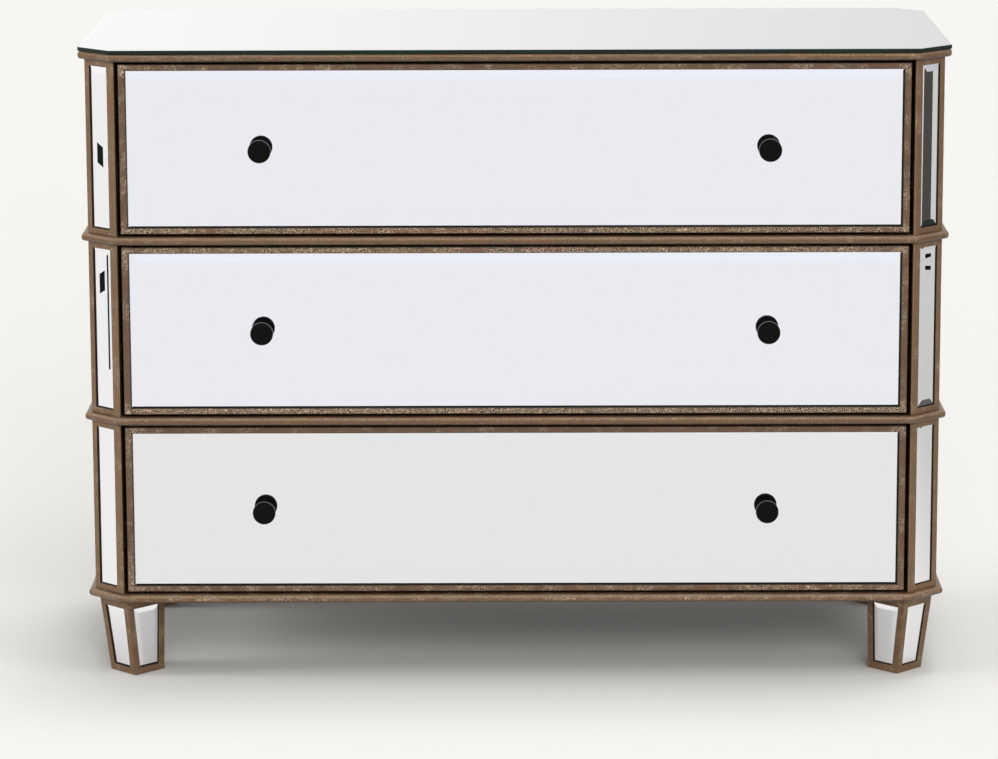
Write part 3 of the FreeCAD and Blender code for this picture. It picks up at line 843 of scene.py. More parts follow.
@dataclass(frozen=True)
class BronzePaint:
    """Antique bronze paint, brushed over a dark coat, with a fine pale crackle.

    Attributes:
        name: the material's name.
        light: colour of the paint where it is thick.
        dark: colour where the dark coat shows through.
        copper: colour of the redder patches.
        crack: colour of the crackle.
        under: colour of painted shade in a rebate, under a nose and on an arris.
        cover: share of the surface that the crackle covers anywhere.
        ends: how much more it covers where the piece asks for crackle.
        cells: crackle cells to a metre.
        line: width of a crack, as a share of a cell.
        edge: how far the arrises are darkened with painted shade rather than worn.
        rough: roughness of the satin face.
        sheen: how far the mottle lowers and raises that roughness.
        thickness: how far streaks and fine mottle thicken the paint, and its least.
        tinting: how far the redder patches, the flakes and the painted shade
        of rebates and noses take their own colour.
        wear: least and most of the crackle's colour on an arris.
        strength: how plain the cracks are on the flat and on an arris.
        heights: height of the cracks and of the streaks.
    """

    name: str
    light: Colour
    dark: Colour
    copper: Colour
    crack: Colour = colour(220, 195, 166)
    under: Colour = colour(26, 17, 13)
    cover: float = 0.1
    ends: float = 0.5
    cells: float = 370.0
    line: float = 0.085
    edge: float = 0.0
    rough: float = 0.42
    sheen: tuple[float, float] = (-0.05, 0.12)
    thickness: tuple[float, float, float] = (0.35, 0.45, 0.1)
    tinting: tuple[float, float, float] = (0.6, 0.95, 0.9)
    wear: tuple[float, float] = (0.05, 0.35)
    strength: tuple[float, float] = (0.95, 0.25)
    heights: tuple[float, float] = (0.6, 0.15)

    def build(self, effects: Effects) -> Material:
        """Make the material.

        Args:
            effects: the shared node groups.

        Returns:
            The material.
        """
        material, g, shader = new_material(self.name)
        place = g.object_place()
        # The cover's second part is painted shade, in a rebate or under a nose.
        arris, rebate, asked = g.split(g.attribute("cover"))
        streak = g.group(effects.streaks, Grain=g.attribute("grain"))["Streak"]
        mottle = g.group(effects.mottle, Place=place, Broad=26.0, Fine=620.0)
        shown = g.plus(g.times(asked, self.ends), self.cover)
        crackle = g.group(effects.crackle, Place=place, Cells=self.cells, Line=self.line, Cover=shown)
        by_streak, by_mottle, least = self.thickness
        thick = g.plus(g.times(streak, by_streak), g.times(mottle["Fine"], by_mottle))
        paint = g.blend(g.plus(thick, least), self.dark, self.light)
        redder, flaked, shaded = self.tinting
        paint = g.blend(g.times(mottle["Broad"], redder), paint, self.copper)
        paint = g.blend(g.times(crackle["Flakes"], flaked), paint, self.dark)
        worn = g.ramp(mottle["Fine"], 0.2, 0.8, self.wear[0], self.wear[1] * (1.0 - self.edge))
        paint = g.blend(g.times(arris, worn), paint, self.crack)
        # Painted shade darkens the arrises by the edge share.
        paint = g.blend(g.times(arris, self.edge), paint, self.under)
        lines = g.times(crackle["Lines"], g.ramp(arris, 0.0, 0.7, *self.strength))
        paint = g.blend(lines, paint, self.crack)
        # Painted shade in rebates and under noses.
        paint = g.blend(g.times(rebate, shaded), paint, self.under)
        smoother, rougher = self.sheen
        rough = g.ramp(mottle["Fine"], 0.0, 1.0, self.rough + smoother, self.rough + rougher)
        crack_h, streak_h = self.heights
        height = g.plus(g.times(crackle["Lines"], crack_h), g.times(streak, streak_h))
        g.fill(shader, Base_Color=paint, Roughness=rough, Normal=g.relief(height, 0.35),
               Metallic=0.25, Specular_IOR_Level=0.45)
        return material


@dataclass(frozen=True)
class Silvering:
    """Silvered glass, bright and very slightly dusty.

    Attributes:
        name: the material's name.
        tint: colour of what it reflects of white.
        rough: roughness where it is clean.
        dust: how much rougher it is under dust.
    """

    name: str
    tint: Colour
    rough: float = 0.012
    dust: float = 0.02

    def build(self, effects: Effects) -> Material:
        """Make the material.

        Args:
            effects: the shared node groups.

        Returns:
            The material.
        """
        material, g, shader = new_material(self.name)
        mottle = g.group(effects.mottle, Place=g.object_place(), Broad=5.0, Fine=900.0)
        dust = g.times(mottle["Broad"], g.ramp(mottle["Fine"], 0.55, 0.95))
        rough = g.ramp(dust, 0.0, 1.0, self.rough, self.rough + self.dust)
        g.fill(shader, Base_Color=self.tint, Metallic=1.0, Roughness=rough)
        return material


@dataclass(frozen=True)
class CutGlass:
    """The polished edge of thick glass, deep green with paler clouds.

    Attributes:
        name: the material's name.
        deep: colour in the depth of the glass.
        pale: colour of the clouds.
        clouds: how far a cloud takes that colour.
        rough: roughness of the polish.
        gleam: how much of the light above it shows.
    """

    name: str = "green_glass_edge"
    deep: Colour = colour(7, 24, 17)
    pale: Colour = colour(20, 42, 34)
    clouds: float = 0.6
    rough: float = 0.10
    gleam: float = 0.22

    def build(self, effects: Effects) -> Material:
        """Make the material.

        Args:
            effects: the shared node groups.

        Returns:
            The material.
        """
        material, g, shader = new_material(self.name)
        mottle = g.group(effects.mottle, Place=g.object_place(), Broad=9.0)
        green = g.blend(g.times(mottle["Broad"], self.clouds), self.deep, self.pale)
        g.fill(shader, Base_Color=green, Roughness=self.rough, IOR=1.52, Specular_IOR_Level=self.gleam)
        return material


@dataclass(frozen=True)
class Lacquer:
    """Opaque lacquer or plain paint, glossy or dull.

    Attributes:
        name: the material's name.
        tone: its colour.
        other: colour of its fine specks.
        rough: roughness where it is smoothest.
        ior: refractive index of its surface.
        rougher: how many times rougher it is elsewhere.
        gleam: how much of the light above it shows.
    """

    name: str
    tone: Colour
    other: Colour
    rough: float
    ior: float = 1.45
    rougher: float = 1.5
    gleam: float = 0.3

    def build(self, effects: Effects) -> Material:
        """Make the material.

        Args:
            effects: the shared node groups.

        Returns:
            The material.
        """
        material, g, shader = new_material(self.name)
        mottle = g.group(effects.mottle, Place=g.object_place(), Broad=40.0, Fine=700.0)
        specks = g.blend(mottle["Fine"], self.tone, self.other)
        rough = g.ramp(mottle["Broad"], 0.0, 1.0, self.rough, self.rough * self.rougher)
        g.fill(shader, Base_Color=specks, Roughness=rough, IOR=self.ior, Specular_IOR_Level=self.gleam)
        return material


@dataclass(frozen=True)
class Timber:
    """Stained or clear-finished wood, with its grain along one axis.

    Attributes:
        name: the material's name.
        light: colour of the pale wood.
        dark: colour of the rings and the pores.
        grain: the axis that its grain runs along.
        rings: how close the rings lie.
        rough: roughness between the pores.
        rougher: how much rougher it is in them.
        darker: how far rings, clouds and pores take the dark colour.
    """

    name: str
    light: Colour
    dark: Colour
    grain: Grain = Grain.X
    rings: float = 60.0
    rough: float = 0.5
    rougher: float = 0.2
    darker: tuple[float, float, float] = (0.5, 0.35, 0.4)

    def build(self, effects: Effects) -> Material:
        """Make the material.

        Args:
            effects: the shared node groups.

        Returns:
            The material.
        """
        material, g, shader = new_material(self.name)
        parts = g.split(g.object_place())
        order = {i: parts[axis] for i, axis in enumerate(self.grain.value)}
        place = g.add("ShaderNodeCombineXYZ", order).outputs[0]
        figure = g.group(effects.figure, Place=place, Rings=self.rings)
        mottle = g.group(effects.mottle, Place=place, Broad=4.0)
        ringed, cloudy, pored = self.darker
        tone = g.plus(g.times(figure["Rings"], ringed), g.times(mottle["Broad"], cloudy))
        wood = g.blend(tone, self.light, self.dark)
        wood = g.blend(g.times(figure["Pores"], pored), wood, self.dark)
        rough = g.ramp(figure["Pores"], 0.0, 1.0, self.rough, self.rough + self.rougher)
        g.fill(shader, Base_Color=wood, Roughness=rough, Normal=g.relief(figure["Pores"], 0.2))
        return material


@dataclass(frozen=True)
class ZincSteel:
    """Zinc-plated steel, cloudy and lightly drawn.

    Attributes:
        name: the material's name.
        bright: colour of the bright clouds.
        dull: colour of the dull clouds.
        rough: least and most roughness.
    """

    name: str = "bright_zinc_steel"
    bright: Colour = colour(206, 208, 208)
    dull: Colour = colour(158, 160, 162)
    rough: tuple[float, float] = (0.26, 0.42)

    def build(self, effects: Effects) -> Material:
        """Make the material.

        Args:
            effects: the shared node groups.

        Returns:
            The material.
        """
        material, g, shader = new_material(self.name)
        mottle = g.group(effects.mottle, Place=g.object_place(), Broad=60.0, Fine=900.0)
        clouds = g.blend(mottle["Broad"], self.bright, self.dull)
        rough = g.ramp(mottle["Fine"], 0.0, 1.0, *self.rough)
        g.fill(shader, Base_Color=clouds, Roughness=rough, Metallic=1.0)
        return material


class Finishes:
    """Every material of the chest, by what it covers."""

    def __init__(self) -> None:
        """Build the shared groups and then the materials."""
        effects = Effects()
        stain = (colour(74, 54, 40), colour(40, 28, 21))
        drawer_wood = (colour(206, 173, 128), colour(163, 125, 84))
        # Frames: edge sets how far painted shade darkens their arrises.
        self.frames = BronzePaint(
            "bronze_frames", colour(124, 100, 77), colour(60, 45, 35), colour(122, 88, 66),
            cover=0.3, ends=0.4, edge=0.75).build(effects)
        self.mouldings = BronzePaint(
            "bronze_mouldings", colour(130, 101, 69), colour(88, 66, 48), colour(122, 88, 63),
            cover=0.22, ends=0.3, rough=0.36).build(effects)
        self.posts = BronzePaint(
            "bronze_posts", colour(146, 118, 84), colour(92, 70, 52), colour(134, 98, 72),
            cover=0.36, cells=420.0).build(effects)
        self.feet = BronzePaint(
            "bronze_feet", colour(140, 112, 80), colour(86, 65, 48), colour(124, 90, 66),
            cover=0.36, cells=420.0).build(effects)
        # Painted shade for the walls and floors of the posts' and feet's pockets.
        self.under = Lacquer(
            "pocket_painted_shade", colour(26, 18, 14), colour(40, 28, 22), 0.5).build(effects)
        self.mirror = Silvering("silvered_mirror", colour(242, 244, 253)).build(effects)
        # A greyer, less blue copy of the drawer silvering for the bottom drawer: a painted dimmer
        # reflection.
        self.low_mirror_painted_dim = Silvering("silvered_mirror_low_painted_dim", colour(237, 238, 242)).build(effects)
        self.corner_mirror = Silvering("silvered_corner_mirror", colour(247, 246, 250)).build(effects)
        self.top = Silvering("silvered_top", colour(248, 248, 248)).build(effects)
        self.edge = CutGlass().build(effects)
        self.backing = Lacquer(
            "mirror_backing", colour(92, 94, 96), colour(76, 78, 80), 0.6).build(effects)
        self.knobs = Lacquer(
            "black_lacquer", colour(7, 7, 6), colour(14, 12, 11), 0.14, ior=1.22).build(effects)
        self.board = Timber("stained_board", *stain).build(effects)
        self.board_up = Timber("stained_board_upright", *stain, Grain.Z).build(effects)
        self.back = Timber("thin_back_board", colour(96, 72, 52), colour(60, 43, 31), Grain.Z,
                           rings=40.0).build(effects)
        self.drawer_side = Timber("drawer_wood_along", *drawer_wood, Grain.Y, rings=70.0,
                                  rough=0.4).build(effects)
        self.drawer_across = Timber("drawer_wood_across", *drawer_wood, Grain.X, rings=70.0,
                                    rough=0.4).build(effects)
        self.ply = Timber("pale_ply", colour(216, 188, 146), colour(182, 148, 104), Grain.X,
                          rings=30.0).build(effects)
        self.steel = ZincSteel().build(effects)
        self.black_steel = ZincSteel("black_zinc_steel", colour(52, 52, 54),
                                     colour(34, 34, 36)).build(effects)

    def mirror_of(self, silvering: Material) -> list[Material]:
        """A mirror's materials: its silvered face, its cut edge and its backing."""
        return [silvering, self.edge, self.backing]


# ---- the plan ---------------------------------------------------------------------
@dataclass(frozen=True)
class Plan:
    """The eight-sided plan and the levels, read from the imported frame.

    Attributes:
        half_w: middle to the face of a side.
        y_front: plane of the front.
        y_back: plane of the back.
        cant: how far a corner is cut back.
        proud: mouldings in front of the carcass.
        face_t: thickness of a mirror frame.
        open_half: half of the drawer opening.
        panel: inner face, front edge and rear edge of the right side panel.
        floors: top of the board under each tier.
        tier_h: clear height of a tier.
    """

    half_w: float
    y_front: float
    y_back: float
    cant: float
    proud: float
    face_t: float
    open_half: float
    panel: tuple[float, float, float]
    floors: tuple[float, ...]
    tier_h: float

    @classmethod
    def from_frame(cls, cant: float = 0.038) -> "Plan":
        """Read the plan from the boxes of the CAD nodes.

        Args:
            cant: how far a corner is cut back, which no box gives.

        Returns:
            The plan.
        """
        side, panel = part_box("side_frames_right"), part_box("side_panel_right")
        waists = [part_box(n) for n in ("base_moulding", "lower_waist_moulding",
                                      "upper_waist_moulding", "top_moulding")]
        return cls(
            half_w=side[1].x,
            y_front=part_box("drawer_top_front_frame")[0].y,
            y_back=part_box("back_panel")[1].y,
            cant=cant,
            proud=waists[0][1].x - side[1].x,
            face_t=side[1].x - panel[1].x,
            open_half=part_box("upper_divider")[1].x,
            panel=(panel[0].x, panel[0].y, panel[1].y),
            floors=tuple(low_high[1].z for low_high in waists[:3]),
            tier_h=waists[1][0].z - waists[0][1].z,
        )

    @property
    def corner_x(self) -> float:
        """Where the front plane meets the canted face."""
        return self.half_w - self.cant

    def outline(self, grow: float, z: float) -> np.ndarray:
        """Corners of the plan, grown all round except at the back.

        Args:
            grow: how far its edges move outwards.
            z: height of the corners.

        Returns:
            Eight corners, anticlockwise from above, from the left of the front.
        """
        x, w, f, b, c = self.corner_x, self.half_w, self.y_front, self.y_back, self.cant
        flat = [(-x, f), (x, f), (w, f + c), (w, b - c), (x, b), (-x, b), (-w, b - c), (-w, f + c)]
        corners = np.array([(px, py, z) for px, py in flat])
        return inset(corners, [0.0 if i == BACK_EDGE else -grow for i in range(len(flat))], UP)

    def at_corner(self, surface: Surface, end: str, side: str) -> Surface:
        """A surface made at the right front corner, turned over to another one.

        Args:
            surface: the surface at the right front corner.
            end: front or rear.
            side: left or right.

        Returns:
            The surface at that corner.
        """
        points = surface.points.copy()
        if side == "left":
            points[:, 0] *= -1.0
        if end == "rear":
            points[:, 1] = self.y_front + self.y_back - points[:, 1]
        return Surface(points, surface.faces, surface.finish, surface.grain, surface.cover)

    def cant_side(self, tier: int) -> np.ndarray:
        """Corners of one tier of the right front canted face.

        Args:
            tier: the tier, counted from the bottom.

        Returns:
            Four corners, both lower ones first.
        """
        start = np.array([self.corner_x, self.y_front, self.floors[tier]])
        across = CANT_ALONG * self.cant * math.sqrt(2.0)
        return np.array([start, start + across, start + across + UP * self.tier_h,
                         start + UP * self.tier_h])


# ---- sub-assemblies -----------------------------------------------------------------
@dataclass
class SubAssembly:
    """Pieces that are made and dressed together.

    Attributes:
        plan: the chest's plan and levels.
        finishes: the chest's materials.
    """

    plan: Plan
    finishes: Finishes


@dataclass
class Mouldings(SubAssembly):
    """Four bullnose mouldings, seven mitred sticks each.

    Attributes:
        nose_r: radius of the nose's two curves.
        back_r: radius of the hidden corners.
        nose_steps: points on each rounded corner.
        joinery: how the sticks are cut and laid.
        crackle: share of crackle on each moulding.
    """

    nose_r: float = 0.0042
    back_r: float = 0.0003
    nose_steps: int = 8
    joinery: Joinery = Joinery()
    crackle: dict[str, float] = field(default_factory=lambda: {
        "base_moulding": 0.8, "lower_waist_moulding": 0.1, "upper_waist_moulding": 0.3,
        "top_moulding": 0.5})

    def build(self) -> None:
        """Carry the bullnose round the plan at each of the four levels."""
        tones = np.random.default_rng(11)
        radii = (self.nose_r, self.back_r, self.back_r, self.nose_r)
        for node, share in self.crackle.items():
            low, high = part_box(node)
            section = Section(high.z - low.z, radii, nose_shade=True, steps=self.nose_steps)
            outer = self.plan.outline(self.plan.proud, high.z)
            inner = self.plan.outline(-self.plan.face_t, high.z)
            sticks = self.joinery.ring(outer, inner, UP, section, tones, [share] * len(outer),
                                       skip=BACK_EDGE)
            make_piece(node, sticks, [self.finishes.mouldings], Slot.PAINT)


@dataclass
class GlassTop(SubAssembly):
    """The eight-sided mirror top with its ground band and green edge.

    Attributes:
        bevel: width of the ground band.
        drop: how far that band falls.
        arris: width of the small chamfers at the edge.
    """

    bevel: float = 0.007
    drop: float = 0.001
    arris: float = 0.0004

    def build(self) -> None:
        """Stack rings: underside, two arrises, the ground band and the field."""
        low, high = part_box("glass_top")
        rim = self.plan.outline(self.plan.proud, low.z)
        thick = high.z - low.z
        steps = ((self.arris, 0.0), (0.0, self.arris), (0.0, thick - self.drop - self.arris),
                 (self.arris, thick - self.drop), (self.bevel, thick))
        rings = np.stack([inset(rim, [inwards] * len(rim), UP) + UP * rise for inwards, rise in steps])
        make_piece("glass_top", through_rings(rings, (2, 1, 1, 1, 0, 0)),
                   self.finishes.mirror_of(self.finishes.top), Slot.GLASS)


@dataclass
class FramedMirrors(SubAssembly):
    """Flat mirrors in mitred frames: the drawer fronts and the sides.

    Attributes:
        rail_w: width of the level sticks.
        stile_w: width of the upright sticks.
        arris: radius of the front corners of a stick.
        back_r: radius of its back corners.
        joinery: how the sticks are cut and laid.
        cut: how the mirrors are cut.
        upright: share of crackle on the upright sticks.
        rails: share of crackle on the lower and the upper rail of each tier.
    """

    rail_w: float = 0.008
    stile_w: float = 0.009
    arris: float = 0.0011
    back_r: float = 0.0002
    joinery: Joinery = Joinery()
    # Painted shade along two edges of each drawer and side mirror.
    cut: MirrorCut = MirrorCut(rim=0.0016, shaded=(0, 1))
    upright: float = 0.25
    rails: dict[str, tuple[float, float]] = field(default_factory=lambda: {
        "bottom": (0.4, 0.2), "middle": (0.85, 0.72), "top": (0.7, 0.3)})

    def pair(self, corners: np.ndarray, out: np.ndarray, tones: np.random.Generator,
             tier: str) -> tuple[Surface, Surface]:
        """A frame and its mirror.

        Args:
            corners: outer corners of the frame's face, level edges first.
            out: unit normal of that face.
            tones: source of the sticks' tones.
            tier: the tier whose crackle it shows.

        Returns:
            The four sticks and the mirror.
        """
        hole = inset(corners, (self.rail_w, self.stile_w, self.rail_w, self.stile_w), out)
        section = Section(self.plan.face_t, (self.arris, self.arris, self.back_r, self.back_r),
                          rebate=True)
        lower, upper = self.rails[tier]
        frame = self.joinery.ring(corners, hole, out, section, tones,
                                  (lower, self.upright, upper, self.upright))
        return frame, self.cut.plate(hole, out)

    def build_drawers(self) -> None:
        """Frame and mirror of each drawer front."""
        tones = np.random.default_rng(23)
        f = self.finishes
        for tier in TIERS:
            drawer = "drawer_" + tier
            low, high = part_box(drawer + "_front_frame")
            face = np.array([(low.x, low.y, low.z), (high.x, low.y, low.z),
                             (high.x, low.y, high.z), (low.x, low.y, high.z)])
            frame, mirror = self.pair(face, OUT, tones, tier)
            make_piece(drawer + "_front_frame", frame, [f.frames], Slot.PAINT, drawer)
            # The bottom drawer's mirror takes the painted dimmer copy.
            silvering = f.low_mirror_painted_dim if tier == "bottom" else f.mirror
            make_piece(drawer + "_mirror", mirror, f.mirror_of(silvering), Slot.GLASS, drawer)

    def build_sides(self) -> None:
        """Three framed mirrors on each side."""
        tones = np.random.default_rng(37)
        _, y0, y1 = self.plan.panel
        for side, sign in (("left", -1.0), ("right", 1.0)):
            x = sign * self.plan.half_w
            first, last = (y0, y1) if sign > 0 else (y1, y0)
            pairs = []
            for tier, floor in zip(TIERS, self.plan.floors):
                top = floor + self.plan.tier_h
                face = np.array([(x, first, floor), (x, last, floor), (x, last, top), (x, first, top)])
                pairs.append(self.pair(face, np.array([sign, 0.0, 0.0]), tones, tier))
            frames, mirrors = (joined(surfaces) for surfaces in zip(*pairs))
            make_piece("side_frames_" + side, frames, [self.finishes.posts], Slot.PAINT)
            make_piece("side_mirrors_" + side, mirrors,
                       self.finishes.mirror_of(self.finishes.mirror), Slot.GLASS)


@dataclass
class CornerPosts(SubAssembly):
    """Four posts, each with three mirrors in its canted face.

    Attributes:
        rail_w: width of the members above and below a mirror.
        outer_w: width of the member towards the side.
        inner_w: width of the member towards the drawers.
        lip_t: thickness of the rear posts' lip, which the back lies on.
        arris: rounding of the edges.
        cut: how the mirrors are cut.
    """

    rail_w: float = 0.008
    outer_w: float = 0.009
    inner_w: float = 0.0115
    lip_t: float = 0.012
    arris: float = 0.0008
    cut: MirrorCut = MirrorCut(bevel=0.0085, recess=0.001)

    @property
    def widths(self) -> tuple[float, float, float, float]:
        """Widths of the members round a mirror: below, outer, above and inner."""
        return self.rail_w, self.outer_w, self.rail_w, self.inner_w

    def posts_plan(self, rear: bool, core: bool) -> np.ndarray:
        """Corners of a post's plan at the right front corner, anticlockwise.

        The core is what is left of the plan behind the mouldings: its canted
        face lies back by the thickness of a frame, measured square to the face.

        Args:
            rear: whether the post carries the back's lip.
            core: whether it is the part behind a moulding.

        Returns:
            Plan corners, starting with both ends of the canted face.
        """
        p = self.plan
        panel_x, panel_y, _ = p.panel
        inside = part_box("corner_post_front_right")[1].y
        low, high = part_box("back_panel")
        back_t, lip_in = high.y - low.y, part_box("corner_post_rear_right")[0].x
        cant_from = (p.corner_x, p.y_front)
        cant_to, side_to = (p.half_w, p.y_front + p.cant), (p.half_w, panel_y)
        if core:
            back = p.face_t * math.sqrt(2.0)
            cant_from = (p.open_half, p.y_front + back - (p.corner_x - p.open_half))
            if rear:
                cant_from = (p.corner_x - back, p.y_front)
            inner_x = p.half_w - p.face_t
            cant_to = (inner_x, p.y_front + inner_x - p.corner_x + back)
            side_to = (inner_x, panel_y)
        corners = [cant_from, cant_to, side_to, (panel_x, panel_y), (panel_x, inside),
                   (p.open_half, inside)]
        if rear:
            lip_back = p.y_front + back_t
            corners += [(p.open_half, lip_back + self.lip_t), (lip_in, lip_back + self.lip_t),
                        (lip_in, lip_back), (high.x, lip_back), (high.x, p.y_front)]
        elif not core:
            corners.append((p.open_half, p.y_front))
        return np.array([(x, y, 0.0) for x, y in corners])

    def post(self, rear: bool) -> Surface:
        """A post: a framed block for each tier, and cores behind the waists.

        Args:
            rear: whether the post carries the back's lip.

        Returns:
            The blocks and the cores, which reach into the blocks.
        """
        p = self.plan
        pocket, reach = self.cut.recess + self.cut.thickness, 2.0 * self.arris
        blocks = []
        plan, core = self.posts_plan(rear, False), self.posts_plan(rear, True)
        for tier, floor in enumerate(p.floors):
            rings = np.stack([plan + UP * floor, plan + UP * (floor + p.tier_h)])
            blocks.append(framed_prism(rings, {0: (self.widths, pocket)}))
            if tier:
                below = p.floors[tier - 1] + p.tier_h - reach
                rings = np.stack([core + UP * below, core + UP * (floor + reach)])
                blocks.append(framed_prism(rings, {}))
        return joined(blocks)

    def mirrors(self) -> Surface:
        """The three mirrors of one canted face."""
        sides = [self.plan.cant_side(tier) for tier in range(len(TIERS))]
        return joined([self.cut.plate(inset(side, self.widths, CANT_OUT), CANT_OUT) for side in sides])

    def build(self) -> None:
        """Make the post and the mirrors of every corner."""
        f = self.finishes
        for end, side in CORNERS:
            post = self.plan.at_corner(self.post(end == "rear"), end, side)
            make_piece(f"corner_post_{end}_{side}", post, [f.posts, f.under], Slot.PAINT,
                       bevel=self.arris)
            plates = self.plan.at_corner(self.mirrors(), end, side)
            make_piece(f"corner_mirrors_{end}_{side}", plates, f.mirror_of(f.corner_mirror), Slot.GLASS)


@dataclass
class Feet(SubAssembly):
    """Four tapered feet set across the corners, with three mirrors each.

    Attributes:
        top_w: width across the corner at the top.
        top_d: depth at the top.
        sole_w: width at the sole.
        sole_d: depth at the sole.
        set_back: distance of the top from the canted face.
        stile_w: width of the members beside a mirror.
        rail_w: width of the member below it.
        head_w: width of the member above it.
        arris: rounding of the edges.
        cut: how the mirrors are cut.
        glazed: the sides that hold mirrors, all but the inward one.
    """

    top_w: float = 0.056
    top_d: float = 0.0635
    sole_w: float = 0.049
    sole_d: float = 0.0495
    set_back: float = 0.0065
    stile_w: float = 0.010
    rail_w: float = 0.010
    head_w: float = 0.013
    arris: float = 0.0015
    cut: MirrorCut = MirrorCut(thickness=0.003, bevel=0.006, recess=0.001)
    glazed: tuple[int, ...] = (0, 1, 3)

    def ring(self, width: float, near: float, far: float, z: float) -> np.ndarray:
        """Four corners round the foot at one height.

        Args:
            width: across the corner.
            near: distance of the outer edge from the canted face.
            far: distance of the inner edge from it.
            z: the height.

        Returns:
            The corners, both outer ones first.
        """
        p = self.plan
        middle = np.array([p.corner_x + p.cant / 2, p.y_front + p.cant / 2, z])
        across = np.array([-0.5, 0.5, 0.5, -0.5])[:, None] * width * CANT_ALONG
        inwards = np.array([near, near, far, far])[:, None] * -CANT_OUT
        return middle + across + inwards

    def rings(self) -> np.ndarray:
        """Sole and top of the foot, whose inward face is upright.

        Returns:
            Four corners at the sole and four at the top.
        """
        far = self.set_back + self.top_d
        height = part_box("foot_front_right")[1].z
        return np.stack([self.ring(self.sole_w, far - self.sole_d, far, 0.0),
                         self.ring(self.top_w, self.set_back, far, height)])

    def parts(self) -> tuple[Surface, Surface]:
        """The foot with its pockets, and its mirrors.

        Returns:
            The foot at the right front corner, and its three mirrors.
        """
        low, high = self.rings()
        widths = (self.rail_w, self.stile_w, self.head_w, self.stile_w)
        pocket = self.cut.recess + self.cut.thickness
        block = framed_prism(np.stack([low, high]), {i: (widths, pocket) for i in self.glazed})
        plates = []
        for i in self.glazed:
            j = (i + 1) % len(low)
            face = np.array([low[i], low[j], high[j], high[i]])
            out = outward(face)
            plates.append(self.cut.plate(inset(face, widths, out), out))
        return block, joined(plates)

    def build(self) -> None:
        """Make every foot, and the mirrors of each pair of feet."""
        f = self.finishes
        block, plates = self.parts()
        for end, side in CORNERS:
            make_piece(f"foot_{end}_{side}", self.plan.at_corner(block, end, side),
                       [f.feet, f.under], Slot.PAINT, bevel=self.arris)
        for end in ("front", "rear"):
            both = joined([self.plan.at_corner(plates, end, side) for side in ("left", "right")])
            make_piece("foot_mirrors_" + end, both, f.mirror_of(f.corner_mirror), Slot.GLASS)


@dataclass
class Knobs:
    """Turned knobs with a flat base, a slim waist and a domed head.

    Attributes:
        finishes: the chest's materials.
        radius: of the head.
        base_r: radius of the base.
        base_l: thickness of the base.
        chamfer: width of the base's chamfer at the seat.
        easing: height of the rounding at the base's other edge.
        neck_r: radius that both curves of the waist run down to.
        base_power: how fast the waist leaves the base.
        head_power: how late it opens to the head.
        head_l: thickness of the head up to its front edge.
        crown: rise of its front.
        turns: points in a full turn.
    """

    finishes: Finishes
    radius: float = 0.0145
    base_r: float = 0.008
    base_l: float = 0.004
    chamfer: float = 0.0004
    easing: float = 0.0006
    neck_r: float = 0.0055
    base_power: float = 2.4
    head_power: float = 2.8
    head_l: float = 0.009
    crown: float = 0.0015
    turns: int = 72

    def profile(self, length: float) -> np.ndarray:
        """Radius and height from the seat to the crown.

        The waist's radius is the neck's, plus the base's excess times (1 - u) to
        the base's power and the head's excess times u to the head's power, where
        u runs from base to head. The head's two edges are quarter circles, and
        its front is a circle's arc that rises by the crown.

        Args:
            length: from the seat to the top of the crown.

        Returns:
            One (radius, height) pair a row.
        """
        bend = self.head_l / 3.0
        rim_h = length - self.crown
        under_h, flat_r = rim_h - self.head_l, self.radius - bend
        base = np.array([(0.0, 0.0), (self.base_r - self.chamfer, 0.0), (self.base_r, self.chamfer),
                         (self.base_r, self.base_l - self.easing),
                         (self.base_r - self.easing / 2, self.base_l - self.easing / 6)])
        u = np.linspace(0.0, 1.0, 15)
        waist_r = (self.neck_r + (self.base_r - self.neck_r) * (1.0 - u) ** self.base_power
                   + (flat_r - self.neck_r) * u ** self.head_power)
        waist = np.column_stack([waist_r, self.base_l + (under_h - self.base_l) * u])
        q = np.linspace(-0.5 * math.pi, 0.0, 7)
        edge_r, edge_h = flat_r + bend * np.cos(q), bend + bend * np.sin(q)
        belly = np.column_stack([edge_r, under_h + edge_h])
        shoulder = np.column_stack([edge_r, rim_h - edge_h])[::-1]
        dome_r = (flat_r ** 2 + self.crown ** 2) / (2.0 * self.crown)
        front_r = np.linspace(flat_r, 0.0, 8)
        front = np.column_stack([front_r, length - dome_r + np.sqrt(dome_r ** 2 - front_r ** 2)])
        return np.concatenate([base, waist[1:], belly[1:], shoulder, front[1:]])

    def build(self) -> None:
        """Turn the two knobs of each drawer."""
        for tier in TIERS:
            drawer = "drawer_" + tier
            low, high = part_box(drawer + "_knobs")
            profile = self.profile(high.y - low.y)
            x = high.x - self.radius
            seats = [np.array([s * x, high.y, (low.z + high.z) / 2]) for s in (-1.0, 1.0)]
            pair = joined([lathe(profile, seat, OUT, self.turns) for seat in seats])
            make_piece(drawer + "_knobs", pair, [self.finishes.knobs], Slot.LACQUER, drawer, weld=True)


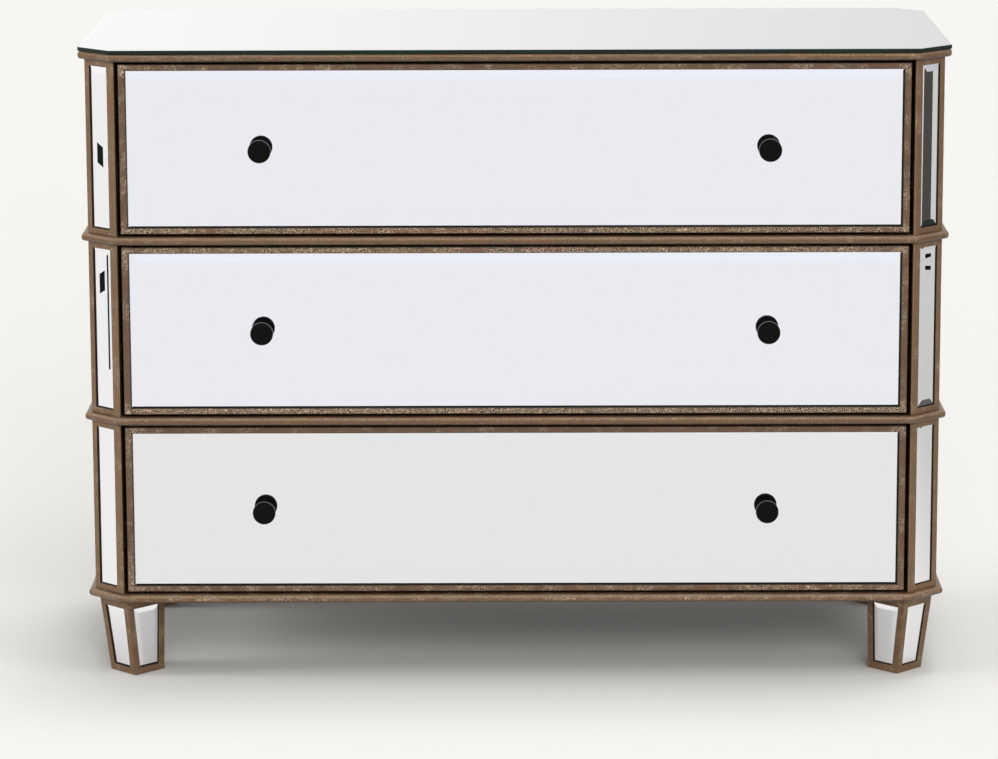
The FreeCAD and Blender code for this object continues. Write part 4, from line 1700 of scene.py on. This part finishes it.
@dataclass
class PlainParts:
    """Boards, drawer boxes, runners and fasteners, whose CAD shapes stay.

    Attributes:
        finishes: the chest's materials.
    """

    frame: dict[str, Any]
    finishes: Finishes

    def dress(self, finish: Material, *nodes: str) -> None:
        """Give CAD nodes a material.

        Args:
            finish: the material.
            nodes: names of the nodes.
        """
        for node in nodes:
            mesh = self.frame["nodes"][node].data
            mesh.materials.clear()
            mesh.materials.append(finish)
            LOG.info("%s: dressed in %s", node, finish.name)

    def build(self) -> None:
        """Dress every node that no finer piece stands for."""
        f = self.finishes
        self.dress(f.board, "top_board", "upper_divider", "lower_divider", "bottom_board")
        self.dress(f.board_up, "side_panel_left", "side_panel_right")
        self.dress(f.back, "back_panel")
        self.dress(f.steel, "back_panel_screws", "foot_bolts")
        self.dress(f.black_steel, "carcass_runners")
        for tier in TIERS:
            name = "drawer_" + tier
            self.dress(f.board, name + "_front_board")
            self.dress(f.drawer_side, name + "_sides")
            self.dress(f.drawer_across, name + "_back")
            self.dress(f.ply, name + "_bottom")
            self.dress(f.black_steel, name + "_runners")
            self.dress(f.steel, name + "_knob_screws")


# ---- studio ------------------------------------------------------------------------
class PaintedReflectionCard(NamedTuple):
    """An upright card beside the set, which only mirrors show: a painted reflection.

    Attributes:
        name: the card's name.
        x: where its middle stands.
        front: y of its front edge.
        rear: y of its rear edge.
        low: height of its lower edge.
        high: height of its upper edge.
        slant: how much higher the rear edge stands.
        tone: the colour it glows with, a painted reflection.
    """

    name: str
    x: float
    front: float
    rear: float
    low: float
    high: float
    slant: float
    tone: Colour


class Sun(NamedTuple):
    """A broad, even light from afar, which mirrors don't show.

    Attributes:
        name: the lamp's name.
        strength: its strength.
        elevation: degrees over the horizon.
        azimuth: degrees round from the front, positive to the right.
        spread: the angle that it fills, in degrees.
    """

    name: str
    strength: float
    elevation: float
    azimuth: float
    spread: float


class Softbox(NamedTuple):
    """A small square lamp that only puts highlights on paint and lacquer.

    Attributes:
        name: the lamp's name.
        place: where it hangs.
        power: its power, in watts.
    """

    name: str
    place: tuple[float, float, float]
    power: float


class Wall(NamedTuple):
    """A change of the sky's tone, as a smooth step across the directions seen.

    Attributes:
        axis: 0 for left to right, 1 for front to rear.
        start: where the tone starts to come in.
        full: where it is there in full.
        tone: the tone.
    """

    axis: int
    start: float
    full: float
    tone: Colour


@dataclass
class Studio:
    """A pale floor under a soft sky, with broad lamps above and on three sides.

    Attributes:
        backdrop: colour of the floor, and of the sky to the camera.
        painted_reflection_grey: colour of the floor on the right that only mirrors show: a painted
            reflection.
        grey_x: where that colour comes in, from left to right.
        grey_y: where it comes in, from front to rear.
        floor_size: length of the floor's edges.
        lift: light of the floor's own that the camera sees.
        glow: light of the floor's own that mirrors show.
        bounce: share of the light that the floor throws back at other things.
        sky: strength of the sky's soft light.
        walls: tones of the sky in mirrors, laid over white one after another.
        run_out: depth of a card over how far its front edge stands out.
        cards: the cards that paint reflections into the mirrors.
        suns: the broad lamps.
        softboxes: the small lamps.
        softbox_size: length of their edges.
        aim: the point that they look at.
    """

    backdrop: Colour = colour(245, 244, 240)
    painted_reflection_grey: Colour = colour(206, 208, 204)
    grey_x: tuple[float, float] = (0.5, 2.4)
    grey_y: tuple[float, float] = (-1.0, -0.6)
    floor_size: float = 60.0
    lift: float = 0.012
    glow: float = 0.19
    bounce: float = 0.35
    sky: float = 0.31
    walls: tuple[Wall, ...] = (
        Wall(0, -0.16, 0.16, colour(224, 224, 224)),
        Wall(1, 0.2, -0.2, colour(249, 249, 249)),
        Wall(0, 0.35, 0.9, colour(200, 202, 203)),
    )
    run_out: float = 1.118
    cards: tuple[PaintedReflectionCard, ...] = (
        PaintedReflectionCard("right_wall", 0.6, -0.214, -0.185, 0.57, 0.778, 0.0037, colour(76, 74, 69)),
        PaintedReflectionCard("right_skirting", 0.6, -0.1941, -0.1723, 0.5528, 0.5633, 0.014, colour(44, 54, 49)),
        PaintedReflectionCard("right_sill", 0.6, -0.1928, -0.1712, 0.3169, 0.3274, 0.0149, colour(95, 97, 98)),
        PaintedReflectionCard("right_lamp", 0.6, -0.1895, -0.1827, 0.5292, 0.5365, 0.0035, colour(20, 20, 20)),
        PaintedReflectionCard("right_bracket", 0.6, -0.1895, -0.1827, 0.5143, 0.5198, 0.0011, colour(20, 20, 20)),
        PaintedReflectionCard("left_window_high", -0.6, -0.1898, -0.1829, 0.6497, 0.6759, 0.0079, colour(24, 34, 30)),
        PaintedReflectionCard("left_window_low", -0.6, -0.1886, -0.1824, 0.4906, 0.5164, -0.0037, colour(24, 30, 28)),
        PaintedReflectionCard("left_pole", -0.6, -0.2114, -0.2089, 0.387, 0.537, 0.0, colour(44, 56, 56)),
    )
    suns: tuple[Sun, ...] = (
        Sun("high_light", 0.90, 79.3, 154.0, 19.5),
        Sun("front_fill", 1.70, 19.9, 6.3, 35.3),
        Sun("left_fill", 1.24, 19.4, -87.3, 21.7),
        Sun("right_fill", 0.52, 42.9, 59.3, 37.3),
    )
    softboxes: tuple[Softbox, ...] = (
        Softbox("left_softbox", (-3.2, -2.2, 1.6), 9.0),
        Softbox("right_softbox", (1.5, -2.2, 2.1), 6.0),
    )
    softbox_size: float = 0.15
    aim: tuple[float, float, float] = (0.0, 0.0, 0.4)

    def build(self) -> None:
        """Make floor, cards, sky and lamps."""
        half = self.floor_size / 2
        corners = [(-half, -half, 0.0), (half, -half, 0.0), (half, half, 0.0), (-half, half, 0.0)]
        self._sheet("studio_floor", corners, self._floor_paper())
        for card in self.cards:
            self._card(card)
        self._sky()
        for sun in self.suns:
            self._sun(sun)
        for softbox in self.softboxes:
            self._softbox(softbox)

    @staticmethod
    def _sheet(name: str, corners: Sequence[tuple[float, float, float]],
               material: Material) -> bpy.types.Object:
        """A flat sheet of the set.

        Args:
            name: the sheet's name.
            corners: its four corners.
            material: its material.

        Returns:
            The sheet, which belongs to the stage.
        """
        mesh = bpy.data.meshes.new(name)
        mesh.from_pydata(corners, [], [(0, 1, 2, 3)])
        mesh.materials.append(material)
        sheet = bpy.data.objects.new(name, mesh)
        bpy.context.scene.collection.objects.link(sheet)
        return sheet

    def _card(self, card: PaintedReflectionCard) -> None:
        """Stand one card beside the set, turned edge-on to the mirrors of the sides.

        Its front edge stands further out than its rear edge, by its depth over
        the run-out.

        Args:
            card: the card.
        """
        reach = math.copysign((card.rear - card.front) / self.run_out / 2, card.x)
        x_front, x_rear = card.x + reach, card.x - reach
        corners = [(x_front, card.front, card.low), (x_rear, card.rear, card.low + card.slant),
                   (x_rear, card.rear, card.high + card.slant), (x_front, card.front, card.high)]
        # The card glows in its tone: a painted reflection that only glossy rays see.
        material, g, shader = new_material(card.name + "_painted_reflection")
        g.fill(shader, Base_Color=BLACK, Roughness=1.0, Specular_IOR_Level=0.0,
               Emission_Color=card.tone, Emission_Strength=1.0)
        sheet = self._sheet(card.name, corners, material)
        for kind in ("camera", "diffuse", "shadow", "transmission", "volume_scatter"):
            setattr(sheet, "visible_" + kind, False)

    def _floor_paper(self) -> Material:
        """Matt pale paper, which keeps shadows but never goes quite dark.

        What the camera sees of it holds a little light of its own, what mirrors
        see of it holds more, and it throws back only part of the light. In
        mirrors it is greyer beside the chest on the right: a painted reflection.

        Returns:
            The material.
        """
        material, g, shader = new_material("pale_floor")
        rays = g.add("ShaderNodeLightPath").outputs
        glossy = rays["Is Glossy Ray"]
        seen = g.maths("MAXIMUM", rays["Is Camera Ray"], rays["Is Transmission Ray"])
        x, y, _ = g.split(g.object_place())
        # Painted reflection: the floor greys to the right of the chest for glossy rays only.
        beside = g.times(g.ramp(x, *self.grey_x), g.ramp(y, *self.grey_y))
        paper = g.blend(g.times(glossy, beside), self.backdrop, self.painted_reflection_grey)
        own = g.plus(g.times(seen, self.lift), g.times(glossy, self.glow))
        taken = g.plus(own, g.times(rays["Is Diffuse Ray"], 1.0 - self.bounce))
        g.fill(shader, Base_Color=g.blend(taken, paper, BLACK), Emission_Color=paper,
               Emission_Strength=own, Roughness=1.0, Specular_IOR_Level=0.0)
        return material

    def _sky(self) -> None:
        """Pale to the camera and in mirrors, and a plain soft light otherwise."""
        world = bpy.data.worlds.new("studio")
        bpy.context.scene.world = world
        world.use_nodes = True
        world.node_tree.nodes.clear()
        g = Graph(world.node_tree)
        rays = g.add("ShaderNodeLightPath").outputs
        seen = g.maths("MAXIMUM", rays["Is Camera Ray"], rays["Is Glossy Ray"])
        seen = g.maths("MAXIMUM", seen, rays["Is Transmission Ray"])
        seen = g.times(seen, g.maths("LESS_THAN", rays["Diffuse Depth"], 0.5))
        direction = g.split(g.add("ShaderNodeTexCoord").outputs["Generated"])
        shown = WHITE
        for wall in self.walls:
            shown = g.blend(g.ramp(direction[wall.axis], wall.start, wall.full), shown, wall.tone)
        shown = g.blend(rays["Is Camera Ray"], shown, self.backdrop)
        soft = g.add("ShaderNodeBackground", {"Color": WHITE, "Strength": self.sky})
        pale = g.add("ShaderNodeBackground", {"Color": shown, "Strength": 1.0})
        both = g.add("ShaderNodeMixShader", {0: seen, 1: soft.outputs[0], 2: pale.outputs[0]})
        g.add("ShaderNodeOutputWorld", {"Surface": both.outputs[0]})

    @staticmethod
    def _sun(sun: Sun) -> None:
        """Hang one broad lamp.

        Args:
            sun: the lamp.
        """
        lamp = bpy.data.lights.new(sun.name, "SUN")
        lamp.energy = sun.strength
        lamp.angle = math.radians(sun.spread)
        lit = bpy.data.objects.new(sun.name, lamp)
        lit.rotation_euler = (math.radians(90.0 - sun.elevation), 0.0, math.radians(sun.azimuth))
        lit.visible_glossy = False
        bpy.context.scene.collection.objects.link(lit)

    def _softbox(self, softbox: Softbox) -> None:
        """Hang one small lamp and turn it to its aim.

        Args:
            softbox: the lamp.
        """
        lamp = bpy.data.lights.new(softbox.name, "AREA")
        lamp.energy = softbox.power
        lamp.size = self.softbox_size
        lit = bpy.data.objects.new(softbox.name, lamp)
        x, y, z = np.array(self.aim) - np.array(softbox.place)
        lit.visible_diffuse = False
        lit.location = softbox.place
        lit.rotation_euler = (math.radians(90.0) + math.atan2(z, math.hypot(x, y)), 0.0,
                              -math.atan2(x, y))
        bpy.context.scene.collection.objects.link(lit)


@dataclass
class Viewpoint:
    """The camera.

    Attributes:
        place: where it stands.
        yaw: turn to the left, in degrees.
        pitch: tilt upwards, in degrees.
        roll: turn about its line of sight, in degrees.
        lens: focal length, in millimetres.
        reach: the farthest that it sees.
    """

    place: tuple[float, float, float] = (0.001, -5.5, 1.45)
    yaw: float = 0.235
    pitch: float = -11.318
    roll: float = 0.182
    lens: float = 153.27
    reach: float = 200.0

    def build(self) -> None:
        """Make the camera and hand it to the scene."""
        camera = bpy.data.cameras.new("camera")
        camera.lens = self.lens
        camera.clip_end = self.reach
        stand = bpy.data.objects.new("camera", camera)
        turn = (Matrix.Rotation(math.radians(self.yaw), 4, "Z")
                @ Matrix.Rotation(math.radians(self.pitch), 4, "X")
                @ Matrix.Rotation(math.radians(self.roll), 4, "Y")
                @ Matrix.Rotation(math.radians(90.0), 4, "X"))
        stand.matrix_world = Matrix.Translation(self.place) @ turn
        bpy.context.scene.collection.objects.link(stand)
        bpy.context.scene.camera = stand
        bpy.context.scene.view_settings.view_transform = "Standard"


def main() -> None:
    """Load the frame, build and dress every sub-assembly, and set the stage."""
    logging.basicConfig(level=logging.INFO, format="%(name)s: %(message)s")
    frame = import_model()
    Studio().build()
    Viewpoint().build()
    plan, finishes = Plan.from_frame(), Finishes()
    Mouldings(plan, finishes).build()
    GlassTop(plan, finishes).build()
    framed = FramedMirrors(plan, finishes)
    framed.build_drawers()
    framed.build_sides()
    CornerPosts(plan, finishes).build()
    Feet(plan, finishes).build()
    Knobs(finishes).build()
    PlainParts(frame, finishes).build()


if __name__ == "__main__":
    main()
